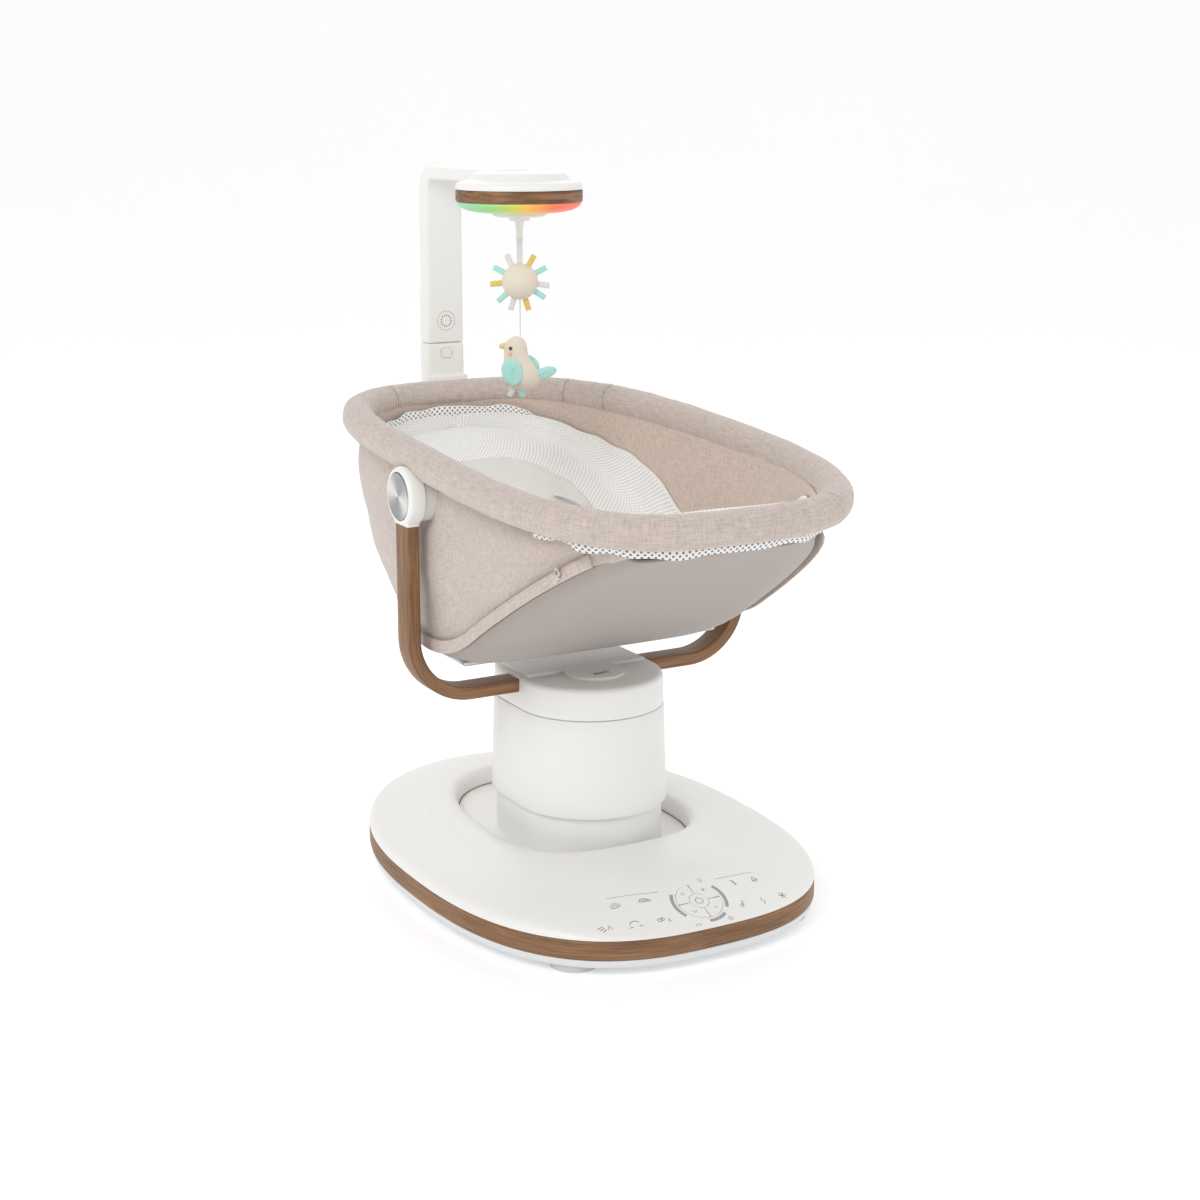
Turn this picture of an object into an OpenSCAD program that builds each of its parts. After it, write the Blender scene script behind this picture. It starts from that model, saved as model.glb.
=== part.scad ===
// Baby swing: a padded bassinet hung in a wooden yoke on a column that slides sideways and
// lifts on a low base, with a lift-off mobile. X is across, -Y is the foot end with the
// control panel, +Y is the head end, Z is up. The origin is on the floor under the column.

/* [Base] */
// Half of the width of the base
base_half_w = 253; // [235:1:304]
// Reach of the base in front of the column's middle
base_front = 346; // [330:1:416]
// Reach of the base behind the column's middle
base_back = 361; // [310:1:434]
// Height of the rubber feet
foot_h = 9; // [7.5:0.5:11]
// Radius of a foot
foot_r = 30; // [25:1:36]
// Height of the pan's edge that shows under the wooden band
pan_edge = 12; // [10:0.5:15]
// Height of the wooden band
band_h = 25; // [21:1:30]
// Thickness of the wooden band
band_t = 5; // [4:0.5:6]
// Rise of the cover above the band
crown_h = 40; // [36:1:46]
// Wall of the plastic shells
wall = 3; // [2.5:0.1:3.6]
// Slope of the control panel
panel_tilt = 22; // [19:1:25]
// Distance of the control ring's middle from the front edge
panel_in = 43; // [40:1:50]

/* [Column] */
// Radius of the column's round front and back
col_r = 99; // [92:1:104]
// Distance of the round ends' centres from the middle
col_gap = 30; // [26:1:36]
// Height of the outer sleeve of the column
sleeve_h = 129; // [119:1:155]
// Height of the inner column that shows under the sleeve
foot_show = 55; // [50:1:66]
// Height of the column's cap
cap_h = 41; // [36:1:49]
// Sideways travel of the column each way
slide_travel = 30; // [25:1:36]
// Downward travel of the lift
lift_travel = 40; // [33:1:46]
// Radius of the steel rails and guide rods
rod_r = 6; // [5:0.5:7]

/* [Yoke] */
// Width of a wooden arm
arm_w = 36; // [30:1:43]
// Thickness of a wooden arm
arm_t = 17; // [14:1:19]
// Outer radius of an arm's bend
arm_bend = 86; // [72:1:103]
// Plane in which the hubs part, from the middle
split_x = 232; // [226:1:252]
// Height of the hub axis over the floor
hub_z = 535; // [500:1:642]
// Radius of the hub housings
hub_r = 37; // [34:0.5:42]
// Radius of the hub buttons
disc_r = 29.5; // [25:0.5:31]
// Radius of the pivot pins
pin_r = 8; // [6.5:0.5:9.5]

/* [Bassinet] */
// Half of the rim's width, at its tube's centre
rim_half_w = 222; // [212:1:224]
// Half of the rim's length, at its tube's centre
rim_half_l = 386; // [350:1:463]
// Height of the rim over the hub axis
rim_up = 42; // [40:1:50]
// Slope of the rim, head end up
rim_tilt = 4; // [0:0.5:6]
// Drop of the rim's ends
rim_bow = 8; // [0:1:12]
// Radius of the padded rim
rim_r = 22; // [19:1:25]
// Radius of the rim's steel tube
tube_r = 8; // [7:0.5:9]
// Depth of the bag under the hub axis
bag_depth = 203; // [180:1:215]
// Slope of the bag under the foot end
foot_slope = 32; // [29:1:36]
// Slope of the bag under the head end
head_slope = 27; // [24:1:32]
// Depth of the liner's hollow under the hub axis
liner_depth = 150; // [130:1:165]
// Thickness of the seat insert
insert_t = 12; // [10:1:14]

/* [Mobile] */
// Width of the post
post_w = 57; // [48:1:68]
// Depth of the post
post_d = 28; // [26:1:32]
// Height of the post's mount over the rim's middle line
mount_h = 74; // [66:1:88]
// Height of the mobile's arm over the mount
post_h = 250; // [208:1:300]
// Reach of the lamp's middle from the post's front
reach = 232; // [215:1:278]
// Radius of the lamp
lamp_r = 84; // [72:1:96]
// Radius of the cloth sun
sun_r = 24; // [20:1:28]

/* [Hidden] */
$fn = 64;

// Fits: running pin, sliding cover, and parts that stand face to face
run = 0.05;
slip = 0.8;
gap = 0.3;
eps = 0.01;

// Heights of the base
band_z = foot_h + pan_edge;
cover_z = band_z + band_h;
crown_z = cover_z + crown_h;
plate_t = 3.5;
plate_z = cover_z + 15.5;
lip = 0.5;
pan_floor = foot_h + wall;

// Rings of the cover: distance in from the edge, and share of the rise at the sides
cover_in = [0, 1.5, 5, 12, 26, 60, 100, 120];
cover_side = [0, 0.15, 0.275, 0.375, 0.5, 0.72, 0.94, 1];
cover_last = cover_in[len(cover_in) - 1];
function front_rise(d) = min(d * tan(panel_tilt), crown_h - (cover_last - d) * 0.07);
function side_rise(k) = crown_h * cover_side[k];

// Control panel
panel_y = -base_front + panel_in;
panel_z = cover_z + front_rise(panel_in);
key_r = 12;
ring_in = 12.6;
ring_out = 29;
arc_in = 32.5;
arc_out = 36.5;
key_t = 3;
key_up = 0.4;

// Column
col_in = col_r - wall;
low_r = col_in - slip;
low_top = plate_z + foot_show + 83;
sleeve_z = plate_z + foot_show;
cap_z = sleeve_z + sleeve_h;
cap_top = cap_z + cap_h;
deck_t = 3;
cap_r = col_r - 1;
rec_w = col_r + slide_travel + 2;
rec_front = col_gap + col_r + 4;
rec_back = rec_front + 85;

// Sliding carriage
rail_z = pan_floor + 28;
rail_y = [-70, 120];
rail_half = rec_w + 36;
bush_x = 70;
bush_len = 24;
bush_r = rod_r + 4;
post_t = 15;
tooth = 2 * PI;
teeth = 16;
pitch_r = teeth;
rack_y = 20;
rack_t = 8;
motor_y = rack_y + rack_t + 2 + pitch_r;
shaft_r = 3;
pinion_h = 9;
pinion_z = plate_z - plate_t - 12;

// Lift drive
guide_x = 50;
guide_y = 50;
guide_top = sleeve_z + 73;
lift_z = sleeve_z + 33;
rack_x = -30;
lift_x = rack_x + rack_t + 2 + pitch_r;
lift_half = 8;

// Yoke
arm_x = split_x + arm_t;
arm_z = cap_top - 3 - arm_t;
arm_in = 45;
arm_top = hub_z - disc_r - 0.5;
house_x = arm_x + 3;
bracket_x = col_r - 12;
bracket_t = 3.3;
bolt_x = [58, 74];
bolt_r = 3;
latch_y = -col_gap - 27;

// Rim and bag
rim_y = -2;
rim_taper = 8;
rim_z = hub_z + rim_up;
rim_n = 3.1;
rim_steps = 72;
bag_w = split_x - 20;
bag_l = rim_half_l - 14;
bag_t = 3;
zip_y = -bag_l * 0.76;
head_y = rim_y + rim_half_l;
head_z = rim_z + rim_half_l * tan(rim_tilt) - rim_bow;

// Post and lamp
post_y = head_y + 6;
mount_z = rim_z + mount_h + 20;
mount_foot = head_z + 12;
arm_top_z = mount_z + post_h;
lamp_y = post_y - reach;
ring_h = 16;
lamp_z = arm_top_z - 24;
ring_z = lamp_z - ring_h;
glow_h = 15;
plate_r = lamp_r * 0.43;
glow_z = ring_z - glow_h;
lamp_foot = glow_z - 5;
post_wall = 2.5;

// Toys, from the lamp down
hub_h = 5;
hang_z = lamp_foot - gap - hub_h;
swing_z = hang_z - 20;
ribbon_len = 38;
sun_z = swing_z - ribbon_len - sun_r + 2;
cord_r = 0.9;
cord_len = 48;
bird_z = sun_z - sun_r - cord_len;
toy_turn = -29;

function sgn(v) = v < 0 ? -1 : 1;
function sup(v, n) = sgn(v) * pow(abs(v), 2 / n);
function unit(v) = v / norm(v);

// A rounded outline whose front and back halves have their own reach and fullness
function outline(hw, front, back, nf, nb, steps = 72) = [for (i = [0 : steps - 1])
    let (t = 360 * i / steps, s = sin(t), n = s < 0 ? nf : nb)
    [hw * sup(cos(t), n), (s < 0 ? front : back) * sup(s, n)]];
function base_line(inset) =
    outline(base_half_w - inset, base_front - inset, base_back - inset, 2.7, 2.15);
function recess_line(grow) =
    outline(rec_w + grow, rec_front + grow, rec_back + grow, 3, 2.4);

// Arc in a side view, by angle from straight down, positive towards +Y
function low_arc(r, a0, a1, steps = 12) = [for (i = [0 : steps])
    let (a = a0 + (a1 - a0) * i / steps) [r * sin(a), hub_z - r * cos(a)]];
function corner(c, r, a0, a1, steps = 8) = [for (i = [0 : steps])
    let (a = a0 + (a1 - a0) * i / steps) c + r * [cos(a), sin(a)]];

// Half width of the bag, and height of its underside, at a place in front of the middle
function bag_half(y) = bag_w * pow(1 - pow(abs(y - rim_y) / bag_l, rim_n), 1 / rim_n);
function foot_line(y) = hub_z - bag_depth * cos(foot_slope)
    + (-y - bag_depth * sin(foot_slope)) * tan(foot_slope);
// Height of the rim's middle line over a place along the swing
function rim_line(y) = rim_z + (y - rim_y) * tan(rim_tilt)
    - rim_bow * pow((y - rim_y) / rim_half_l, 2);
function rim_point(t) = let (y = rim_half_l * sup(sin(t), rim_n),
    w = rim_half_w - rim_taper * y / rim_half_l)
    [w * sup(cos(t), rim_n), y + rim_y, rim_line(y + rim_y)];
function rim_path() = [for (i = [0 : rim_steps - 1]) rim_point(360 * i / rim_steps)];
function ring_at(p, q, c, r, sides) = let (t = unit(q - p), h = unit(cross(t, [0, 0, 1])),
    v = cross(h, t)) [for (j = [0 : sides - 1])
    c + r * (cos(360 * j / sides) * h + sin(360 * j / sides) * v)];

module solid_of(rings, closed) {
    s = len(rings[0]);
    m = len(rings);
    last = closed ? m - 1 : m - 2;
    side = [for (k = [0 : last], j = [0 : s - 1])
        let (a = k * s + j, b = k * s + (j + 1) % s,
            c = ((k + 1) % m) * s + (j + 1) % s, d = ((k + 1) % m) * s + j)
        each [[a, d, c], [a, c, b]]];
    ends = closed ? [] : [[for (j = [0 : s - 1]) j], [for (j = [s - 1 : -1 : 0]) (m - 1) * s + j]];
    polyhedron(points = [for (r = rings) each r], faces = concat(side, ends));
}
module closed_tube(path, r, sides) {
    n = len(path);
    rings = [for (i = [0 : n - 1])
        ring_at(path[(i + n - 1) % n], path[(i + 1) % n], path[i], r, sides)];
    solid_of([for (i = [n - 1 : -1 : 0]) rings[i]], true);
}
module slab(line, z0, z1) {
    translate([0, 0, z0]) linear_extrude(z1 - z0) polygon(line);
}
module band(outer, inner, z0, z1) {
    difference() {
        slab(outer, z0, z1);
        slab(inner, z0 - 1, z1 + 1);
    }
}
module stadium(r, z0, z1) {
    translate([0, 0, z0]) linear_extrude(z1 - z0) {
        translate([0, -col_gap]) circle(r);
        translate([0, col_gap]) circle(r);
        square([2 * r, 2 * col_gap], center = true);
    }
}
module block(x, y, z) {
    translate([x[0], y[0], z[0]]) cube([x[1] - x[0], y[1] - y[0], z[1] - z[0]]);
}
module rod_x(r, x0, x1, y, z) {
    translate([x0, y, z]) rotate([0, 90, 0]) cylinder(r = r, h = x1 - x0);
}
module rod_y(r, y0, y1, x, z) {
    translate([x, y1, z]) rotate([90, 0, 0]) cylinder(r = r, h = y1 - y0);
}
module rod_z(r, z0, z1, x, y) {
    translate([x, y, z0]) cylinder(r = r, h = z1 - z0);
}
module both_sides() {
    for (side = [0, 1]) mirror([side, 0, 0]) children();
}
module at_panel() {
    translate([0, panel_y, panel_z]) rotate([panel_tilt, 0, 0]) children();
}
module screw_spots() {
    for (spot = [[base_half_w - 48, -120], [base_half_w - 48, 120],
            [80, -base_front + 88], [80, base_back - 70]])
        both_sides() translate([spot[0], spot[1], 0]) children();
}

// Base ------------------------------------------------------------------------------------

module cover_form(grow, drop) {
    rings = concat(
        drop > 0 ? [[for (p = base_line(grow)) [p[0], p[1], cover_z - 10]]] : [],
        [for (k = [0 : len(cover_in) - 1])
            let (line = base_line(cover_in[k] + grow))
            [for (i = [0 : len(line) - 1])
                let (off = (360 * i / len(line) - 270) / 40, w = exp(-off * off),
                    rise = w * front_rise(cover_in[k]) + (1 - w) * side_rise(k))
                [line[i][0], line[i][1], cover_z + rise - drop]]]);
    solid_of(rings, false);
}
module base_cover() {
    color("white") difference() {
        union() {
            difference() {
                cover_form(0, 0);
                cover_form(wall + 1, wall);
            }
            band(recess_line(wall), recess_line(0), plate_z + lip, crown_z - 1);
            screw_spots() rod_z(5, pan_floor, cover_z - 2, 0, 0);
            intersection() {
                cover_form(1, 1);
                screw_spots() rod_z(5, cover_z - 5, crown_z, 0, 0);
            }
        }
        slab(recess_line(0), cover_z - 20, crown_z + 20);
        at_panel() translate([0, 0, -14]) cylinder(r = ring_out + 0.5, h = 30);
        at_panel() light_bars(arc_in - 0.1, arc_out + 0.1, -1, 10, 0.2);
        screw_spots() rod_z(2.2, pan_floor - 1, pan_floor + 21, 0, 0);
    }
}
module base_pan() {
    color("whitesmoke") difference() {
        union() {
            slab(base_line(4), foot_h, pan_floor);
            band(base_line(4), base_line(band_t + wall + 0.5), foot_h, band_z);
            band(base_line(band_t + 0.5), base_line(band_t + wall + 0.5), foot_h, cover_z - 1.5);
            both_sides() for (y = rail_y)
                block([rail_half - post_t, rail_half], [y - 13, y + 13], [foot_h + 1, rail_z + 12]);
        }
        for (y = rail_y) rod_x(rod_r + run, -rail_half - 1, rail_half + 1, y, rail_z);
        screw_spots() rod_z(2.2, foot_h - 1, pan_floor + 1, 0, 0);
        rod_y(5, base_back - 30, base_back + 5, 0, foot_h + 7);
    }
}
module wood_band() {
    color("saddlebrown") band(base_line(0), base_line(band_t), band_z, cover_z);
}
module base_feet() {
    color("silver") both_sides()
        for (spot = [[base_half_w - 103, -base_front + 84], [base_half_w - 123, base_back - 99]])
            rod_z(foot_r, 0, foot_h, spot[0], spot[1]);
}
module base_screws() {
    color("gray") screw_spots() {
        rod_z(2.1, foot_h - 2, pan_floor + 18, 0, 0);
        rod_z(4, foot_h - 2.5, foot_h, 0, 0);
    }
}
module slide_rails() {
    color("silver") for (y = rail_y) rod_x(rod_r, -rail_half, rail_half, y, rail_z);
}
module slide_motor() {
    color("dimgray") {
        rod_z(20, pan_floor, pinion_z - 4, 0, motor_y);
        rod_z(shaft_r, pinion_z - 5, pinion_z + pinion_h + 1, 0, motor_y);
    }
}
module control_board() {
    color("green") block([-68, 68], [panel_y - 14, panel_y + 26], [cover_z - 6, cover_z - 4.4]);
}
module light_bars(r0, r1, z0, z1, grow) {
    for (mid = [0, 180, 285])
        rotate([0, 0, mid - (mid == 285 ? 22 : 33) - grow])
            rotate_extrude(angle = (mid == 285 ? 44 : 66) + 2 * grow)
                translate([r0, z0]) square([r1 - r0, z1 - z0]);
}
module light_arcs() {
    color("gray") at_panel() light_bars(arc_in, arc_out, -0.9, 0.4, 0);
}
module dc_inlet() {
    color("dimgray") difference() {
        rod_y(4.9, base_back - 26, base_back - 4, 0, foot_h + 7);
        rod_y(2.6, base_back - 20, base_back, 0, foot_h + 7);
    }
}

// Keys ------------------------------------------------------------------------------------

module power_button() {
    color("white") at_panel() translate([0, 0, key_up - key_t]) cylinder(r = key_r, h = key_t);
}
module ring_key(mid) {
    half = 43;
    color("white") at_panel() rotate([0, 0, mid - half])
        rotate_extrude(angle = 2 * half)
            translate([ring_in, key_up - key_t]) square([ring_out - ring_in, key_t]);
}

// Slide drive -----------------------------------------------------------------------------

module gear(r, h) {
    difference() {
        linear_extrude(h) {
            circle(r - 2.3);
            for (i = [0 : teeth - 1]) rotate(i * 360 / teeth)
                polygon([[r - 3, -1.6], [r + 1.5, -0.7], [r + 1.5, 0.7], [r - 3, 1.6]]);
        }
        translate([0, 0, -1]) cylinder(r = shaft_r + run, h = h + 2);
    }
}
// A rack lies along +X with its teeth towards +Y, and a gap between teeth is at x = 0
module rack(half, deep) {
    linear_extrude(deep) {
        translate([-half, 0]) square([2 * half, rack_t - 1]);
        for (i = [-floor(half / tooth) : floor(half / tooth) - 1])
            translate([(i + 0.5) * tooth, rack_t - 1.2])
                polygon([[-1.6, 0], [-0.7, 4.4], [0.7, 4.4], [1.6, 0]]);
    }
}
module slide_pinion() {
    color("ivory") translate([0, motor_y, pinion_z]) rotate([0, 0, -90]) gear(pitch_r, pinion_h);
}
module slide_rack() {
    color("ivory") translate([0, rack_y, pinion_z - 0.5])
        rack(slide_travel + 24, plate_z - plate_t - pinion_z + 0.5);
}
module carriage_plate() {
    color("whitesmoke") difference() {
        union() {
            slab(outline(rec_w + slide_travel + 6, rec_front + 8, rec_back + 8, 3, 2.4),
                plate_z - plate_t, plate_z);
            both_sides() for (y = rail_y)
                block([bush_x - 14, bush_x + 14], [y - bush_r - 3, y + bush_r + 3],
                    [rail_z - bush_r - 3, plate_z - plate_t + eps]);
        }
        both_sides() for (y = rail_y)
            rod_x(bush_r, bush_x - 20, bush_x + 20, y, rail_z);
        for (x = [-guide_x, guide_x]) rod_z(rod_r, plate_z - plate_t - 1, plate_z + 1, x, guide_y);
    }
}
module rail_bushes() {
    color("goldenrod") both_sides() for (y = rail_y) difference() {
        rod_x(bush_r, bush_x - bush_len / 2, bush_x + bush_len / 2, y, rail_z);
        rod_x(rod_r + run, bush_x - 20, bush_x + 20, y, rail_z);
    }
}
module lower_column() {
    color("white") difference() {
        stadium(low_r, plate_z, low_top);
        stadium(low_r - wall, plate_z - 1, low_top + 1);
    }
}
module guide_rods() {
    color("silver") for (x = [-guide_x, guide_x])
        rod_z(rod_r, plate_z - plate_t, guide_top, x, guide_y);
}
module lift_motor() {
    color("dimgray") {
        rod_y(18, lift_half + 4, lift_half + 52, lift_x, lift_z);
        block([lift_x - 12, lift_x + 12], [lift_half + 12, lift_half + 44], [plate_z, lift_z - 10]);
        rod_y(shaft_r, -lift_half - 1, lift_half + 5, lift_x, lift_z);
    }
}
module lift_pinion() {
    color("ivory") translate([lift_x, lift_half - 0.5, lift_z]) rotate([90, 0, 0])
        rotate([0, 0, 180]) gear(pitch_r, 2 * lift_half - 1);
}

// Lifting column --------------------------------------------------------------------------

module upper_column() {
    color("white") difference() {
        stadium(col_r, sleeve_z, cap_z);
        stadium(col_in, sleeve_z - 1, cap_z - deck_t);
    }
}
module lift_bushes() {
    color("goldenrod") for (x = [-guide_x, guide_x]) difference() {
        rod_z(rod_r + 5, guide_top - lift_travel, cap_z - deck_t, x, guide_y);
        rod_z(rod_r + run, guide_top - lift_travel - 1, cap_z - deck_t - 2, x, guide_y);
    }
}
module lift_rack() {
    half = (cap_z - deck_t - lift_z) / 2 + 10;
    color("ivory") translate([rack_x, lift_half, cap_z - deck_t - half]) rotate([90, 0, 0])
        rotate([0, 0, -90]) rack_cut(half);
}
// The upright rack's teeth are set so that a gap between teeth is level with the pinion
module rack_cut(half) {
    shift = cap_z - deck_t - half - lift_z;
    linear_extrude(2 * lift_half) {
        translate([-half, 0]) square([2 * half, rack_t - 1]);
        for (i = [ceil((shift - half) / tooth) : floor((shift + half) / tooth) - 1])
            translate([shift - (i + 0.5) * tooth, rack_t - 1.2])
                polygon([[-1.6, 0], [-0.7, 4.4], [0.7, 4.4], [1.6, 0]]);
    }
}
module column_cap() {
    color("white") difference() {
        stadium(cap_r, cap_z, cap_top);
        block([-cap_r - 1, cap_r + 1], [-arm_w / 2 - gap, arm_w / 2 + gap], [arm_z, cap_top + 1]);
        block([-13, 13], [latch_y - 9, latch_y + 9], [cap_top - 6, cap_top + 1]);
        both_sides() for (x = bolt_x) rod_z(bolt_r + run, cap_z - 1, cap_top, x, 0);
    }
}
module yoke_bracket() {
    color("white") difference() {
        union() {
            block([-bracket_x, bracket_x], [-arm_w / 2 - 6, arm_w / 2 + 30],
                [cap_top, cap_top + bracket_t]);
            rod_z(40, cap_top, cap_top + bracket_t, 0, latch_y + 14);
            block([-arm_in + 1, arm_in - 1], [-arm_w / 2, arm_w / 2], [arm_z, cap_top + 1]);
        }
        block([-12, 12], [latch_y - 8, latch_y + 8], [cap_top - 1, cap_top + 10]);
    }
}
module yoke_arms() {
    bend = [-arm_x + arm_bend, arm_z + arm_bend];
    inner = arm_bend - arm_t;
    side = concat([[-arm_x, arm_top]], corner(bend, arm_bend, 180, 270, 16),
        [[-arm_in, arm_z], [-arm_in, arm_z + arm_t]], corner(bend, inner, 270, 180, 16),
        [[-arm_x + arm_t, arm_top]]);
    color("saddlebrown") both_sides() difference() {
        translate([0, arm_w / 2, 0]) rotate([90, 0, 0]) linear_extrude(arm_w) polygon(side);
        for (x = bolt_x) {
            rod_z(bolt_r + run, arm_z - 1, arm_z + arm_t + 1, -x, 0);
            rod_z(6, arm_z + arm_t - 6, arm_z + arm_t + 1, -x, 0);
        }
    }
}
module arm_bolts() {
    color("gray") both_sides() for (x = bolt_x) {
        rod_z(bolt_r, cap_z + 2, arm_z + arm_t - 5, x, 0);
        rod_z(5.5, arm_z + arm_t - 6, arm_z + arm_t - 1, x, 0);
    }
}
module hub_housings() {
    color("white") both_sides() difference() {
        union() {
            rod_x(hub_r, -house_x, -split_x, 0, hub_z);
            block([-arm_x - 1, -split_x], [-arm_w / 2 - 2, arm_w / 2 + 2], [arm_top, hub_z]);
        }
        block([-house_x - 1, -split_x + 1], [-hub_r, hub_r], [hub_z - hub_r - 1, arm_top]);
        rod_x(disc_r + gap, -house_x - 1, -house_x + 7.5, 0, hub_z);
        rod_x(pin_r + run, -house_x + 1, -split_x + 1, 0, hub_z);
    }
}
module release_latch() {
    color("peru") block([-7, 7], [latch_y - 7.5, latch_y + 2], [cap_top - 5.7, cap_top + 2]);
}
module hub_button() {
    rod_x(disc_r, -house_x - 1.5, -house_x + 4, 0, hub_z);
}
module hub_button_left() {
    color("silver") hub_button();
}
module hub_button_right() {
    color("silver") mirror([1, 0, 0]) hub_button();
}

// Bassinet --------------------------------------------------------------------------------

module bag_space(r, inset, drop) {
    run_out = 430;
    fa = foot_slope;
    ha = head_slope;
    hollow = concat(
        [[-r * sin(fa) - run_out * cos(fa), hub_z - r * cos(fa) + run_out * sin(fa)]],
        low_arc(r, -fa, ha),
        [[r * sin(ha) + run_out * cos(ha), hub_z - r * cos(ha) + run_out * sin(ha)]]);
    under = concat([[-600, hub_z - 300]], [[600, hub_z - 300]],
        [for (y = [600 : -50 : -600]) [y, rim_line(y) - drop]]);
    intersection() {
        translate([0, rim_y, 0]) slab(outline(bag_w - inset, bag_l - inset, bag_l - inset,
            rim_n, rim_n), hub_z - 320, hub_z + 320);
        translate([-300, 0, 0]) rotate([90, 0, 90]) linear_extrude(600) polygon(hollow);
        translate([-300, 0, 0]) rotate([90, 0, 90]) linear_extrude(600) polygon(under);
    }
}
module pivot_hubs() {
    color("white") both_sides() {
        rod_x(hub_r - 4, -split_x + gap, -bag_w - 0.2, 0, hub_z);
        rod_x(pin_r, -house_x + 8.5, -split_x + 5, 0, hub_z);
    }
}
module rim_frame() {
    color("silver") closed_tube(rim_path(), tube_r, 12);
}
module rim_sleeve() {
    color("tan") difference() {
        closed_tube(rim_path(), rim_r, 16);
        closed_tube(rim_path(), tube_r + 0.3, 12);
        both_sides() rod_x(hub_r + 1.5, -split_x - 40, -bag_w + 12, 0, hub_z);
        both_sides() rod_x(tube_r + 2, -split_x - 40, -bag_w + 12, 0, hub_z);
    }
}
module side_fabric() {
    color("tan") difference() {
        bag_space(bag_depth, 0, rim_r + 1);
        bag_space(bag_depth - bag_t, bag_t, -60);
    }
}
module seat_shell() {
    color("rosybrown") difference() {
        bag_space(bag_depth + 5, 6, rim_r + 22);
        bag_space(bag_depth + gap, 0, -60);
        block([-300, 300], [60, 600], [0, hub_z + 300]);
    }
}
module liner() {
    color("white") difference() {
        bag_space(bag_depth - bag_t - 0.5, bag_t + 0.5, rim_r + 12);
        bag_space(liner_depth, bag_t + 9, -60);
    }
}
module insert_pad() {
    color("gainsboro") intersection() {
        difference() {
            bag_space(liner_depth - 0.5, bag_t + 60, rim_r + 14);
            bag_space(liner_depth - insert_t, bag_t, -60);
        }
        block([-100, 100], [-170, 240], [0, hub_z + 300]);
    }
}
module under_frame() {
    r = 4;
    z = hub_z - bag_depth - 5 - gap - r;
    color("silver") {
        rod_x(r, -bag_w + 30, bag_w - 30, -40, z);
        rod_x(r, -bag_w + 30, bag_w - 30, 40, z);
        both_sides() rod_y(r, -40, 40, bag_w - 30, z);
        both_sides() for (y = [-40, 40]) translate([bag_w - 30, y, z]) sphere(r);
    }
}
module post_mount() {
    tall = mount_z - mount_foot;
    color("white") difference() {
        block([-post_w / 2, post_w / 2], [post_y, post_y + post_d + 3], [mount_foot, mount_z]);
        rod_x(rim_r + 0.4, -post_w, post_w, head_y, head_z);
        block([-8.3, 8.3], [post_y - 1, post_y + 7], [mount_z - 22, mount_z - 8.4]);
        block([-9, 9], [post_y + 9, post_y + post_d - 6], [mount_z - 31, mount_z + 1]);
    }
}
module zip_pull() {
    color("silver") translate([-bag_half(zip_y) - 4, zip_y, foot_line(zip_y) + 16])
        rotate([0, 90, 0]) difference() {
        union() {
            cylinder(r = 5.5, h = 2.4, center = true);
            translate([6, 0, 0]) cylinder(r = 4, h = 2.4, center = true);
        }
        cylinder(r = 3, h = 5, center = true);
    }
}
module post_button() {
    color("white") block([-8, 8], [post_y - 1, post_y + 5], [mount_z - 21.7, mount_z - 8.7]);
}

// Mobile ----------------------------------------------------------------------------------

module side_plate(line, x0, x1) {
    translate([x0, 0, 0]) rotate([90, 0, 90]) linear_extrude(x1 - x0) polygon(line);
}
function arm_line(inset) = let (bend = 38, fold = 14,
        front = post_y + inset, back = post_y + post_d - inset,
        top = arm_top_z - inset, under = arm_top_z - 18 + inset)
    concat([[front, mount_z + gap + inset], [back, mount_z + gap + inset]],
        corner([back - bend + inset, top - bend + inset], bend - inset, 0, 90),
        [[lamp_y + lamp_r + 2 - (inset > 0 ? -inset : 0), top],
            [lamp_y + lamp_r + 2 - (inset > 0 ? -inset : 0), under]],
        corner([front - fold - inset, under - fold - inset], fold + inset, 90, 0, 6));
module post_shell() {
    color("white") difference() {
        side_plate(arm_line(0), -post_w / 2, post_w / 2);
        side_plate(arm_line(post_wall), -post_w / 2 + post_wall, post_w / 2 - post_wall);
    }
}
module post_back() {
    color("white") block([-post_w / 2 + 2, post_w / 2 - 2],
        [post_y + post_d + 0.1, post_y + post_d + 3], [mount_z + 1, mount_z + 72]);
}
module lamp_top() {
    color("white") difference() {
        union() {
            translate([0, lamp_y, lamp_z]) cylinder(r1 = lamp_r - 2, r2 = lamp_r - 6, h = 9);
            block([-post_w / 2, post_w / 2], [lamp_y - lamp_r * 0.6, lamp_y + lamp_r + 1.8],
                [lamp_z + 6.1, arm_top_z - 1]);
        }
        translate([0, lamp_y, lamp_z - 1]) cylinder(r = lamp_r - 9, h = 7);
    }
}
module lamp_ring() {
    color("saddlebrown") translate([0, lamp_y, ring_z]) difference() {
        cylinder(r = lamp_r, h = ring_h);
        translate([0, 0, -1]) cylinder(r = lamp_r - 5, h = ring_h + 2);
    }
}
module light_diffuser() {
    color("palegreen") translate([0, lamp_y, 0]) difference() {
        rotate_extrude() polygon([[0, glow_z], [plate_r, glow_z],
            each corner([lamp_r - 14, glow_z + 13], 12, 270, 360, 6),
            [lamp_r - 2, ring_z], [0, ring_z]]);
        translate([0, 0, glow_z + 2]) cylinder(r = lamp_r - 16, h = glow_h);
        translate([0, 0, glow_z - 1]) cylinder(r = 16, h = glow_h);
    }
}
module lamp_plate() {
    color("white") translate([0, lamp_y, lamp_foot]) difference() {
        cylinder(r = plate_r, h = glow_z - lamp_foot);
        translate([0, 0, -1]) cylinder(r = 5, h = 10);
    }
}
module speaker() {
    color("dimgray") rod_y(18, post_y + post_wall, post_y + post_wall + 9, 0, mount_z + 32);
}
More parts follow.
